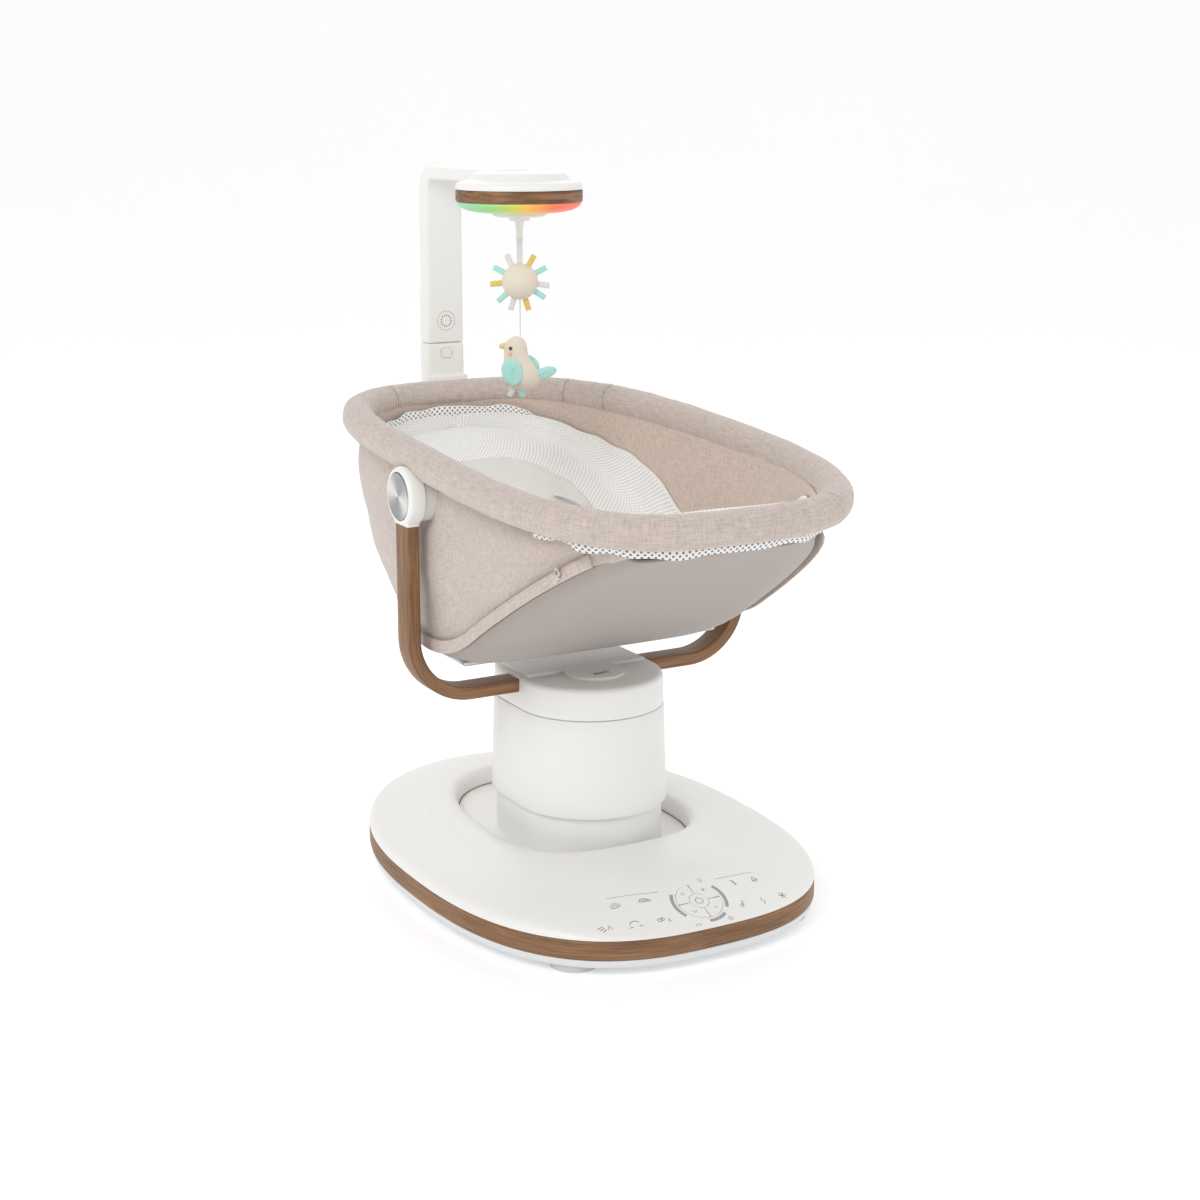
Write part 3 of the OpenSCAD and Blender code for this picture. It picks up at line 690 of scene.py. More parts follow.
def steel(name, rough=0.28, tone=(0.62, 0.62, 0.61)):
    look = Look(name, metallic=1.0)
    place = look.place()
    fine = look.noise(look.stretched(place, (900.0, 900.0, 60.0)), 1.0, 3.0)
    look.send("Base Color", look.tinted(fine, tone, 0.85, 1.1))
    look.send("Roughness", rough + fine * 0.12)
    look.bump(fine, 0.08, 0.0001)
    return look.material


def rubber(name, tone=(0.62, 0.62, 0.60)):
    look = Look(name, roughness=0.8, specular_ior_level=0.3)
    place = look.place()
    fine = look.noise(place, 800.0, 3.0)
    look.send("Base Color", look.tinted(fine, tone, 0.9, 1.05))
    look.send("Roughness", 0.7 + fine * 0.2)
    look.bump(fine, 0.25, 0.0003)
    return look.material


def diffuser(name):
    """Milky lens lit from inside in colours that run across it."""
    look = Look(name, roughness=0.4, emission_strength=0.24)
    x, y, _ = look.parts(look.place())
    across = (x * math.cos(TOY_TURN) + (y - LAMP_Y * MM) * math.sin(TOY_TURN)) / 0.15 + 0.5
    glow = look.noise(look.place(), 30.0, 2.0)
    tint = look.ramp(across + (glow - 0.5) * 0.06, [
        (0.0, (0.25, 0.58, 0.36)), (0.25, (0.28, 0.62, 0.24)), (0.45, (0.54, 0.62, 0.12)),
        (0.6, (0.84, 0.48, 0.10)), (0.8, (0.88, 0.20, 0.09)), (1.0, (0.82, 0.15, 0.10))])
    look.send("Base Color", tint)
    look.send("Emission Color", tint)
    look.send("Roughness", 0.36 + glow * 0.12)
    return look.material


MADE = {}


def material(name):
    """Makes a material once and hands out the same one afterwards."""
    if name not in MADE:
        MADE[name] = FINISHES[name]()
    return MADE[name]


YELLOW, WHITE_RIBBON = (0.86, 0.62, 0.16), (0.80, 0.80, 0.80)
FINISHES = {
    "shell": lambda: plastic("White shell", tuple(colours().shell)),
    "key": lambda: plastic("White keys", shade(tuple(colours().shell), 0.99), 0.42, 0.03),
    "inner": lambda: plastic("Inner plastic", (0.72, 0.71, 0.68), 0.5),
    "pan": lambda: plastic("Base pan", (0.74, 0.75, 0.76), 0.45),
    "dark": lambda: plastic("Dark plastic", (0.03, 0.03, 0.032), 0.45, 0.15),
    "grey": lambda: plastic("Light bars", (0.36, 0.36, 0.36), 0.4),
    "print": lambda: plastic("Printed marks", (0.20, 0.20, 0.20), 0.55),
    # Painted shade of the gap round the post's button.
    "painted_gap_shade": lambda: plastic("Painted gap shade", (0.42, 0.42, 0.41), 0.55),
    "board": lambda: plastic("Circuit board", (0.03, 0.12, 0.06), 0.5),
    "gap": lambda: plastic("Shadow gap", (0.16, 0.11, 0.07), 0.7),
    "gold": lambda: plastic("Catch", (0.42, 0.29, 0.13), 0.45),
    "walnut": lambda: walnut("Walnut", "uv"),
    "walnut_ring": lambda: walnut("Walnut ring", "object"),
    "linen": lambda: woven("Linen", tuple(colours().linen)),
    # Painted light: the same linen, made lighter and warmer for the inner wall.
    "linen_painted_light_in": lambda: woven("Linen inside", tuple(
        c * k for c, k in zip(colours().linen, (1.14, 1.10, 1.05)))),
    "taupe": lambda: smooth_cloth("Foot panel cloth", tuple(colours().taupe)),
    "mesh": lambda: spacer_mesh("Spacer mesh", (0.97, 0.97, 0.955), (0.42, 0.42, 0.42), 0.0068,
        0.6),
    "insert": lambda: spacer_mesh("Insert mesh", (0.86, 0.84, 0.81), (0.44, 0.43, 0.42), 0.0046,
        0.45),
    "net": lambda: spacer_mesh("Net strip", (0.90, 0.90, 0.90), (0.16, 0.15, 0.14), 0.0080, 0.95),
    "web": lambda: felt("White webbing", (0.78, 0.78, 0.77)),
    "brushed": lambda: brushed("Spun disc"),
    "steel": lambda: steel("Steel"),
    "bush": lambda: steel("Bearing bronze", 0.4, (0.62, 0.45, 0.24)),
    "rubber": lambda: rubber("Foot rubber"),
    "glow": lambda: diffuser("Glowing lens"),
    "cream": lambda: felt("Cream cloth", tuple(colours().cream)),
    "teal": lambda: felt("Teal cloth", tuple(colours().teal)),
    "teal_ribbon": lambda: ribbon("Teal ribbon", tuple(colours().teal)),
    "yellow_ribbon": lambda: ribbon("Yellow ribbon", YELLOW),
    "white_ribbon": lambda: ribbon("White ribbon", WHITE_RIBBON),
    "beak": lambda: felt("Beak cloth", (0.84, 0.70, 0.30)),
    "blush": lambda: felt("Cheek", (0.85, 0.55, 0.40)),
    "eye": lambda: plastic("Eye", (0.04, 0.025, 0.02), 0.2, 0.0, 0.6),
    "stitch": lambda: felt("Stitches", (0.30, 0.62, 0.56)),
    "seam": lambda: felt("Seam thread", (0.33, 0.27, 0.23)),
}

NODE_FINISH = {
    "base_feet": "rubber", "base_screws": "steel", "slide_rails": "steel",
    "slide_motor": "dark", "control_board": "board", "light_arcs": "grey",
    "dc_inlet": "dark", "power_button": "key", "motion_up_button": "key",
    "motion_down_button": "key", "volume_up_button": "key", "volume_down_button": "key",
    "slide_pinion": "inner", "carriage_plate": "shell", "rail_bushes": "bush",
    "slide_rack": "inner", "lower_column": "shell", "guide_rods": "steel",
    "lift_motor": "dark", "lift_pinion": "inner", "lift_bushes": "bush",
    "lift_rack": "inner", "yoke_bracket": "shell", "arm_bolts": "steel",
    "release_latch": "gold", "pivot_hubs": "inner", "rim_frame": "steel",
    "under_frame": "steel", "zip_pull": "steel", "post_button": "key",
    "speaker": "dark", "spin_motor": "dark",
}


# Operators ---------------------------------------------------------------------------------


class SWING_OT_frame_finishes(bpy.types.Operator):
    """Gives every part of the frame its finish"""

    bl_idname = "swing.frame_finishes"
    bl_label = "Frame finishes"

    def execute(self, context):
        for name, finish_name in NODE_FINISH.items():
            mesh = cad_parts[name].data
            if not mesh.materials:
                mesh.materials.append(None)
            for i in range(len(mesh.materials)):
                mesh.materials[i] = material(finish_name)
        return {"FINISHED"}


class SWING_OT_cord(bpy.types.Operator):
    """Hangs the bird's cord under the sun"""

    bl_idname = "swing.cord"
    bl_label = "Bird cord"

    def execute(self, context):
        curve = bpy.data.curves.new("bird_cord_line", "CURVE")
        curve.dimensions = "3D"
        curve.bevel_depth = 0.9 * MM
        curve.bevel_resolution = 4
        spline = curve.splines.new("POLY")
        count = 13
        spline.points.add(count - 1)
        for i, point in enumerate(spline.points):
            point.co = (0, LAMP_Y * MM, CORD_TOP * MM - CORD_LENGTH * i / (count - 1), 1)
        obj = linked("bird_cord_line", curve)
        finish(obj, "bird_cord_line", "toys", "white_ribbon", ["bird_cord"])
        return {"FINISHED"}


def cover_rings(drop, grow):
    """Rings of the cover from its edge inwards; the last ones close up beside the recess."""
    rings = []
    for d in (0, 0.6, 1.5, 3, 5, 8, 12, 18, 26, 34, 42, 50, 60, 70, 80, 90, 100):
        plain = base_outline(d + grow)
        ring = []
        for i in range(144):
            inset, turn = d, 360 * i / 144
            x, y = plain[i]
            if d > 60:
                off = (turn - 270) / 40
                inset = 60 + (d - 60) * (0.3 + 1.25 * math.exp(-off * off))
                x, y = base_outline(inset + grow)[i]
            ring.append((x, y, panel_flat(x, y, COVER_Z + cover_rise(inset, turn)) - drop))
        rings.append(ring)
    return rings


class SWING_OT_base(bpy.types.Operator):
    """Makes the domed cover, the pan and the walnut band of the base"""

    bl_idname = "swing.base"
    bl_label = "Base"

    def execute(self, context):
        top = COVER_Z + CROWN
        rings = cover_rings(0, 0)
        for grow, z in ((34, top - 0.7), (22, top - 0.1), (15, top - 0.3), (10, top - 1.4),
                        (6, top - 3.4), (3, top - 6.6), (1.2, top - 11), (0.3, top - 16),
                        (0, PLATE_Z + 4), (0, PLATE_Z + 0.6), (3, PLATE_Z + 0.6)):
            rings.append([(x, y, z) for x, y in recess_outline(grow)])
        rings.append([(x, y, top - 14) for x, y in recess_outline(5)])
        rings.append([(x, y, top - 4) for x, y in recess_outline(16)])
        rings += reversed(cover_rings(3, 3)[1:])
        rings.append([(x, y, COVER_Z) for x, y in base_outline(3)])
        cover = outwards(loft("cover", rings, along=True))
        tilt = Matrix.Translation((0, PANEL_Y * MM, PANEL_Z * MM)) @ Matrix.Rotation(
            math.atan(PANEL_TILT), 4, "X")
        deselect()
        bpy.ops.mesh.primitive_cylinder_add(vertices=96, radius=29.5 * MM, depth=0.03)
        hole = bpy.context.object
        hole.data.transform(tilt)
        cut(cover, hole)
        for mid, half in ((180, 33), (0, 33), (285, 22)):
            cut(cover, arc_block(mid, half, 32.4, 36.6, -3, 12, tilt))
        finish(smoothed(cover, 24), "base_cover_shell", "base", "shell",
               ["base_cover"])

        rings = []
        for inset, z in ((40, FOOT_Z), (9, FOOT_Z), (5.5, FOOT_Z + 0.8), (3, FOOT_Z + 3),
                         (1.6, FOOT_Z + 7), (1.2, BAND_Z - 0.4), (4, BAND_Z - 0.4),
                         (6, FOOT_Z + 5), (10, FOOT_Z + 3), (40, FOOT_Z + 3)):
            rings.append([(x, y, z) for x, y in base_outline(inset)])
        pan = outwards(loft("pan", rings, ends=(True, True)))
        finish(smoothed(pan, 35), "base_pan_shell", "base", "pan", ["base_pan"])

        line = loft("gap", [[(x, y, PLATE_Z + 0.75) for x, y in recess_outline(g)]
                            for g in (0.1, -1.3)])
        finish(line, "recess_gap", "base", "gap")
        section = [(5, BAND_Z + 0.2), (1.4, BAND_Z + 0.2), (0.4, BAND_Z + 0.7),
                   (0, BAND_Z + 1.8), (0, 27), (0, 34), (0, 41), (0, COVER_Z - 2),
                   (0.4, COVER_Z - 0.9), (1.4, COVER_Z - 0.4), (5, COVER_Z - 0.4)]
        ring_of = [base_outline(inset, 240) for inset, _ in section]
        rings = [[(ring_of[k][i][0], ring_of[k][i][1], z) for k, (_, z) in enumerate(section)]
                 for i in range(240)]
        band = outwards(loft("band", rings, along=True))
        finish(smoothed(band, 50), "walnut_band", "base", "walnut", ["wood_band"])
        return {"FINISHED"}


def arc_block(mid, half, r0, r1, z0, z1, place, steps=24):
    """A block bent round the panel's centre, between two radii."""
    points = []
    for k in range(steps + 1):
        a = math.radians(mid - half + 2 * half * k / steps)
        for r, z in ((r0, z0), (r1, z0), (r1, z1), (r0, z1)):
            points.append((r * math.cos(a), r * math.sin(a), z))
    faces = [(k * 4 + j, k * 4 + (j + 1) % 4, k * 4 + 4 + (j + 1) % 4, k * 4 + 4 + j)
             for k in range(steps) for j in range(4)]
    faces += [(3, 2, 1, 0), tuple(steps * 4 + j for j in range(4))]
    obj = new_mesh("arc", points, faces)
    obj.data.transform(place)
    return outwards(obj)


def strokes(lines, width, on_cover=True, lift=0.12):
    """Flat printed lines laid on the cover: each is a list of (x, y) in millimetres."""
    points, faces = [], []
    for line in lines:
        dense = []
        for a, b in zip(line, line[1:]):
            cuts = max(1, int(math.dist(a, b) / 6))
            dense += [(a[0] + (b[0] - a[0]) * i / cuts, a[1] + (b[1] - a[1]) * i / cuts)
                      for i in range(cuts)]
        dense.append(line[-1])
        base = len(points)
        for i, p in enumerate(dense):
            a, b = dense[max(0, i - 1)], dense[min(len(dense) - 1, i + 1)]
            dx, dy = b[0] - a[0], b[1] - a[1]
            size = math.hypot(dx, dy) or 1
            for side in (-1, 1):
                x, y = p[0] - side * dy / size * width / 2, p[1] + side * dx / size * width / 2
                z = cover_height(x, y) if on_cover else PANEL_Z + (y - PANEL_Y) * PANEL_TILT
                points.append((x, y, z + lift))
        for i in range(len(dense) - 1):
            k = base + i * 2
            faces.append((k, k + 2, k + 3, k + 1))
    return new_mesh("strokes", points, faces)


def circle_line(x, y, r, start=0, end=360, steps=20):
    return [(x + r * math.cos(math.radians(start + (end - start) * i / steps)),
             y + r * 0.93 * math.sin(math.radians(start + (end - start) * i / steps)))
            for i in range(steps + 1)]


class SWING_OT_panel(bpy.types.Operator):
    """Prints plain pictograms and lines round the control keys"""

    bl_idname = "swing.panel"
    bl_label = "Control panel marks"

    def execute(self, context):
        def at(x, y, *places):
            return [(x + dx, y + dy) for dx, dy in places]

        def rays(x, y, near, far, angles):
            return [at(x, y, (near * math.cos(a), near * math.sin(a)),
                       (far * math.cos(a), far * math.sin(a))) for a in map(math.radians, angles)]

        sun, car, wave = (-103, -279), (-66, -284), (-134, -306)
        arch, tree = (-96, -314), (-60, -319)
        bold = [circle_line(*sun, 3.4, 0, 180), *rays(*sun, 5, 7.2, range(0, 181, 30)),
                at(*sun, (-5, -1.5), (5, -1.5)),
                at(*car, (-7, 1), (-4, 4.5), (2, 4), (8, -1)), at(*car, (-7, 1), (8, -2)),
                at(*car, (-3, 2.6), (5, 0.8)),
                *[at(*wave, (-7 + i * 2, 4 - i * 3.4), (1 + i, 5 - i * 3)) for i in range(3)],
                at(*wave, (5, -3), (8, 4), (10, -3)),
                circle_line(*arch, 6.5, 20, 160), at(*arch, (-9, -2), (-4, -2.6)),
                at(*arch, (4, -3), (9, -3.4)),
                circle_line(tree[0] - 4, tree[1] + 2, 2.6),
                circle_line(tree[0], tree[1] + 2.4, 2.2),
                at(*tree, (6, -4), (7.5, 1.5), (9, -4)),
                [(59, -283), (61.5, -291)], [(57.5, -281.5), (60.5, -282.5), (62.5, -290)],
                [(91, -280), (88.4, -285), (89.6, -289), (93, -288.4), (94.4, -284.6), (91, -280)],
                [(87, -287), (96.5, -285.5)],
                circle_line(49.5, -323, 2.0), [(51.5, -323), (52.5, -316), (56, -318)],
                [(81, -316), (79, -321), (83, -321.4), (80.4, -327)],
                *rays(112, -317.5, 0, 5.4, range(0, 360, 60))]
        fine = [[(-106, -262), (-42, -277)], [(40, -276), (96, -272)],
                circle_line(19.5, -272.5, 2.4), [(18.6, -276), (20.4, -276)],
                circle_line(23, -338, 3.0), [(21.4, -338), (24.6, -338)],
                circle_line(-22, -340, 4.4, 10, 170), [(-22, -340), (-20.4, -337)]]
        icons = joined("icons", [strokes(bold, 0.95), strokes(fine, 0.55)])
        finish(icons, "panel_marks", "base", "print")

        top = 0.45 / math.cos(math.atan(PANEL_TILT)) + 0.1
        ring = [(5 * math.cos(math.radians(a)), 4.6 * math.sin(math.radians(a)))
                for a in range(120, 421, 15)]
        c = 20.8 * math.sqrt(0.5)
        for name, lines in (
                ("power", [ring, [(0, 2), (0, 6.6)]]),
                ("motion_up", [[(-c - 2.6, c - 1.6), (-c, c + 1.6), (-c + 2.6, c - 1.6)]]),
                ("motion_down", [[(-c - 2.6, -c + 1.6), (-c, -c - 1.6), (-c + 2.6, -c + 1.6)]]),
                ("volume_up", [[(c - 2.6, c), (c + 2.6, c)], [(c, c - 2.6), (c, c + 2.6)]]),
                ("volume_down", [[(c - 2.6, -c), (c + 2.6, -c)]])):
            places = [[(x, PANEL_Y + y) for x, y in line] for line in lines]
            finish(strokes(places, 0.75, False, top), name + "_mark", name + "_key",
                   "print")
        return {"FINISHED"}


class SWING_OT_column(bpy.types.Operator):
    """Makes the column's sleeve and its rounded cap"""

    bl_idname = "swing.column"
    bl_label = "Column"

    def execute(self, context):
        foot, top = COL_R + 2.4, COL_R - 1.6
        edge = [(foot - 3.5, SLEEVE_Z + 0.5), (foot - 1.2, SLEEVE_Z), (foot - 0.3, SLEEVE_Z + 0.5),
                (foot, SLEEVE_Z + 1.6)]
        edge += [(foot + (top - foot) * (k / 8), SLEEVE_Z + (CAP_Z - SLEEVE_Z) * (k / 8))
                 for k in range(1, 8)]
        edge += [(top, CAP_Z - 1.4), (top - 0.3, CAP_Z - 0.7), (top - 1.4, CAP_Z - 0.4),
                 (top - 5, CAP_Z - 0.4)]
        sleeve = outwards(loft("sleeve", [stadium(*place) for place in edge], along=True))
        finish(smoothed(sleeve, 40), "column_sleeve", "lift", "shell",
               ["upper_column"])
        r = top - 0.4
        edge = [(r - 4, CAP_Z + 0.3), (r - 1.2, CAP_Z + 0.3), (r - 0.3, CAP_Z + 0.7),
                (r, CAP_Z + 1.6), (r - 0.3, 258), (r - 0.6, 270)]
        for k in range(0, 7):
            a = math.radians(90 * k / 6)
            edge.append((r - 0.8 - 7 * (1 - math.cos(a)), CAP_TOP - 7 + 7 * math.sin(a)))
        edge.append((r - 30, CAP_TOP))
        cap = outwards(loft("cap", [stadium(*place) for place in edge], ends=(True, True)))
        cut(cap, box("window", (-11, 11), (-67.5, -48.5), (CAP_TOP - 9, CAP_TOP + 8), 3))
        finish(smoothed(cap, 40), "column_cap_shell", "lift", "shell",
               ["column_cap"])
        return {"FINISHED"}


def rounded_rect(w, t, r, per=4):
    """Corners of a rounded rectangle, as (across, through) places."""
    places = []
    for cx, cy, start in ((1, 1, 0), (-1, 1, 90), (-1, -1, 180), (1, -1, 270)):
        for k in range(per + 1):
            a = math.radians(start + 90 * k / per)
            places.append((cx * (w / 2 - r) + r * math.cos(a), cy * (t / 2 - r) + r * math.sin(a)))
    return places


def swept(name, path, section, side):
    """A section swept along a path: side is the direction of its width."""
    rings = []
    for i, p in enumerate(path):
        a, b = Vector(path[max(0, i - 1)]), Vector(path[min(len(path) - 1, i + 1)])
        along = (b - a).normalized()
        through = along.cross(Vector(side)).normalized()
        shape = section(i) if callable(section) else section
        rings.append([Vector(p) + Vector(side) * u + through * v for u, v in shape])
    return outwards(loft(name, rings, ends=(True, True)))


class SWING_OT_yoke(bpy.types.Operator):
    """Bends the walnut arms and makes the hub housings with their spun discs"""

    bl_idname = "swing.yoke"
    bl_label = "Yoke and hubs"

    def execute(self, context):
        section = rounded_rect(ARM_W, ARM_T, 3.2)
        mid = ARM_T / 2
        for side, name in ((-1, "left"), (1, "right")):
            x = ARM_X - mid
            bend = ARM_BEND - mid
            path = [(side * x, 0, z) for z in (ARM_TOP, 480, 450, 420, 390, ARM_Z + ARM_BEND)]
            for k in range(1, 17):
                a = math.radians(90 * k / 16)
                path.append((side * (x - bend + bend * math.cos(a)), 0,
                             ARM_Z + ARM_BEND - bend * math.sin(a)))
            for xx in (140, 115, 90, 70, 50):
                path.append((side * xx, 0, ARM_Z + mid))
            arm = swept("arm", path, section, (0, 1, 0))
            finish(smoothed(arm, 50), "arm_" + name, "lift", "walnut",
                   ["yoke_arms"] if side < 0 else ())
            profile = [(0, 231.2), (36, 231.2), (36.8, 231.8), (37, 232.8), (37, 246),
                       (36.2, 249.4), (34.4, 251.4), (32.2, 252.2), (30.6, 252),
                       (30.1, 250.6), (30.1, 243), (0, 243)]
            house = turned("house", [(r, side * h) for r, h in profile], axis="X")
            house.data.transform(Matrix.Translation((0, 0, HUB_Z * MM)))
            neck = box("neck", sorted((side * 231.6, side * 249.9)), (-19.4, 19.4),
                       (ARM_TOP - 7, HUB_Z - 26), 3.0, 4)
            house = joined("house", [house, neck])
            finish(smoothed(house, 40), "hub_housing_" + name, "lift", "shell",
                   ["hub_housings"] if side < 0 else ())
            dish = [(0, 252.1), (10, 252.2), (20, 252.5), (27.6, 252.9), (28.6, 253.2),
                    (29.3, 252.8), (29.5, 251.6), (29.5, 247), (0, 247)]
            disc = turned("disc", [(r, side * h) for r, h in dish], axis="X")
            disc.data.transform(Matrix.Translation((0, 0, HUB_Z * MM)))
            finish(smoothed(disc, 40), "hub_disc_" + name, "hub_key_" + name,
                   "brushed", ["hub_button_" + name])
        return {"FINISHED"}


# Places of the rim's seams, in degrees round it.
SEAMS = [132.5, 108, 72, 49.5, 31.5, 235, 295]


class SWING_OT_rim(bpy.types.Operator):
    """Sews the padded rim over its steel tube"""

    bl_idname = "swing.rim"
    bl_label = "Padded rim"

    def execute(self, context):
        rim = sizes().rim_radius / MM
        count, sides = 480, 40
        path = [rim_point(2 * math.pi * i / count) for i in range(count)]
        rings = []
        for i, p in enumerate(path):
            along = (path[(i + 1) % count] - path[i - 1]).normalized()
            out, up = beside(along)
            angle = 360 * i / count
            tuck = 0.0
            for seam in SEAMS:
                reach = min(abs(angle - seam), 360 - abs(angle - seam))
                off = reach * 4.2
                tuck += 1.5 * math.exp(-(off / 1.5) ** 2) - 0.35 * math.exp(-((off - 6) / 4) ** 2)
            ring = []
            for j in range(sides):
                a = 2 * math.pi * j / sides
                low = max(0.0, -math.sin(a)) ** 6
                r = rim - tuck - 0.7 + 0.55 * wobble(p.x, p.y, 40 * math.sin(a), 17)
                r += 0.35 * wobble(p.x, p.y, 60 * a, 6) - 1.4 * low
                q = p + out * (r * math.cos(a)) + up * (r * math.sin(a))
                if abs(q.x) > 210 and abs(q.y) < 60:
                    keep = 34.6 if abs(q.x) < 231 else 38.4
                    far = math.hypot(q.y, q.z - HUB_Z)
                    if far < keep:
                        push = keep / max(far, 1)
                        q = Vector((q.x, q.y * push, HUB_Z + (q.z - HUB_Z) * push))
                ring.append(q)
            rings.append(ring)
        sleeve = loft("rim", rings, along=True)
        outwards(sleeve)
        finish(smoothed(sleeve), "rim_padding", "bassinet", "linen", ["rim_sleeve"])
        threads = []
        for seam in SEAMS:
            a = math.radians(seam)
            p, q = rim_point(a - 0.002), rim_point(a + 0.002)
            along = (q - p).normalized()
            out, up = beside(along)
            mid = rim_point(a)
            line = [mid + (out * math.cos(t) + up * math.sin(t)) * (rim - 1.75)
                    for t in [math.radians(-60 + 300 * k / 40) for k in range(41)]]
            threads.append(swept("thread", line, rounded_rect(0.9, 0.9, 0.4, 1), along))
        finish(smoothed(joined("threads", threads), 60), "rim_seams", "bassinet", "seam")
        return {"FINISHED"}


def beside(along):
    """Outward and upward directions about a nearly level path."""
    out = along.cross(Vector((0, 0, 1))).normalized()
    return out, out.cross(along)


def bag_section(y, half, top, bottom, bulge, round_r, sag, cells=(14, 6, 14)):
    """One cross-section of the bag: down one wall, across the bottom and up the other."""
    tall = max(2.0, top - bottom)
    ease = min(1.0, half / 40)
    bulge *= ease
    r = min(round_r, tall * 0.45, half * 0.6)
    places = []
    wall, corner, floor = cells
    for k in range(wall):
        v = k / wall
        z = top - (tall - r) * v
        x = half + bulge * math.sin(math.pi * min(1, v * 1.05)) - 5 * ease * v ** 3
        places.append((x, z))
    base_x = half - 5 * ease
    for k in range(corner + 1):
        a = math.radians(90 * k / corner)
        places.append((base_x - r + r * math.cos(a), bottom + r - r * math.sin(a)))
    for k in range(1, floor + 1):
        v = k / floor
        x = (base_x - r) * (1 - v)
        places.append((x, bottom - sag * math.sin(math.pi / 2 * v)))
    left = [Vector((-x, y, z)) for x, z in places]
    right = [Vector((x, y, z)) for x, z in reversed(places[:-1])]
    return left + right


class SWING_OT_side_fabric(bpy.types.Operator):
    """Hangs the linen bag under the rim, with its hems"""

    bl_idname = "swing.side_fabric"
    bl_label = "Side fabric"

    def execute(self, context):
        bulge = sizes().bulge / MM
        rings = []
        count = 96
        for i in range(count + 1):
            t = math.radians(-90 + 180 * i / count)
            y = RIM_Y + (BAG_L + 4 * smooth(100, 300, math.sin(t) * 372)) * sup(math.sin(t), RIM_N)
            half = max(0.05, BAG_W * sup(max(0, math.cos(t)), RIM_N))
            top = rim_line(y) - 15
            bottom = min(top - 3, floor_line(y, 200.5 + 2.5 * smooth(40, 90, y)))
            ring = []
            for p in bag_section(y, half, top, bottom, bulge, 22, 0):
                side = math.copysign(1, p.x)
                drop = min(1.0, max(0.0, (rim_line(p.y) - 18 - p.z) / 60))
                wave = wobble(p.x * 0.2, p.y, p.z, 26) * 2.1 + wobble(p.y, p.z, p.x * 0.3, 11) * 0.5
                pull = math.exp(-(((p.y + 40) * 0.7 + (p.z - 380) * 0.7) / 16) ** 2) * 1.6
                edge = smooth(120, 200, abs(p.x))
                x = p.x + side * (wave + pull) * drop * edge
                if abs(p.y) < 50 and abs(x) > 211 and math.hypot(p.y, p.z - HUB_Z) < 36:
                    x = side * 211
                ring.append(Vector((x, p.y, p.z)))
            rings.append(ring)
        bag = loft("bag", rings, around=False)
        thicken(bag, 1.6, -1)
        outwards(bag)
        finish(smoothed(bag, 60), "side_fabric_bag", "bassinet", "linen",
               ["side_fabric"])

        hems, lines = [], []
        for side in (-1, 1):
            path = []
            for k in range(61):
                y = -318 + 6.2 * k
                z = floor_line(y, 203) + 12
                path.append((side * (bag_half(y) + 1.6 + 0.5 * wobble(y, z, 0, 12)), y, z))
            shape = rounded_rect(2.4, 17, 1.1, 2)
            rings = []
            for i, p in enumerate(path):
                a = Vector(path[max(0, i - 1)])
                b = Vector(path[min(len(path) - 1, i + 1)])
                along = (b - a).normalized()
                out = Vector((side, 0, 0))
                out = (out - along * out.dot(along)).normalized()
                up = along.cross(out) * side
                rings.append([Vector(p) + out * u + up * v for u, v in shape])
            hems.append(outwards(loft("hem", rings, ends=(True, True))))
            lines.append(swept("line", [Vector(p) + Vector((side * 1.1, 0, 8.6)) for p in path],
                               rounded_rect(0.8, 0.8, 0.3, 1), (side, 0, 0)))
        finish(smoothed(joined("lines", lines), 60), "hem_stitches", "bassinet",
               "seam")
        finish(smoothed(joined("hems", hems), 50), "side_hems", "bassinet", "linen")
        return {"FINISHED"}


class SWING_OT_foot_shell(bpy.types.Operator):
    """Stretches the smooth panel over the foot end, with the net strip above it"""

    bl_idname = "swing.foot_shell"
    bl_label = "Foot panel"

    def execute(self, context):
        rings = []
        for y in [-340 + 465 * k / 70 for k in range(71)]:
            half = bag_half(y, 5) - 1
            side = [(half * (1 - k / 16), 208.0 - 9.0 * (1 - k / 16) ** 14) for k in range(17)]
            ring = []
            for x, r in [(-x, r) for x, r in side] + side[-2::-1]:
                sling = (1 - (x / half) ** 6) * (1.2 + 13 * (1 - smooth(52, 120, abs(y))))
                ring.append(Vector((x, y, floor_line(y, r) - sling)))
            rings.append(ring)
        shell = loft("foot", rings, around=False)
        outwards(shell)
        if sum(f.normal.z for f in shell.data.polygons) > 0:
            shell.data.flip_normals()
        thicken(shell, 4.2, -1)
        round_off(shell, 1.3, 3, 50)
        finish(smoothed(shell, 40), "foot_panel", "bassinet", "taupe",
               ["seat_shell"])

        rings = []
        for k in range(121):
            t = math.radians(-148 + 116 * k / 120)
            x = (BAG_W + 1.5) * sup(math.cos(t), RIM_N)
            y = RIM_Y + (BAG_L + 2) * sup(math.sin(t), RIM_N)
            high = rim_line(y) - 17
            low = rim_line(y) - 33 - 1.2 * math.sin(k * 0.42) - 1.4 * math.sin(k * 0.17)
            n = Vector((x / BAG_W ** 2, (y - RIM_Y) / BAG_L ** 2, 0)).normalized()
            ring = []
            for j in range(7):
                v = j / 6
                z = high + (low - high) * v
                ring.append(Vector((x, y, z)) + n * (1.5 + 3 * math.sin(math.pi * v)
                                                    + 0.8 * math.sin(k * 0.42 + 1)))
            rings.append(ring)
        strip = loft("net", rings, around=False)
        thicken(strip, 1.2)
        finish(smoothed(strip, 60), "foot_net", "bassinet", "net")
        return {"FINISHED"}


# Height of the liner over the bag's bottom, along the swing.
LINER_EDGE = [(-372, 8), (-300, 12), (-200, 22), (-60, 24), (0, 30), (68, 56), (122, 66),
              (177, 60), (240, 44), (292, 30), (372, 20)]


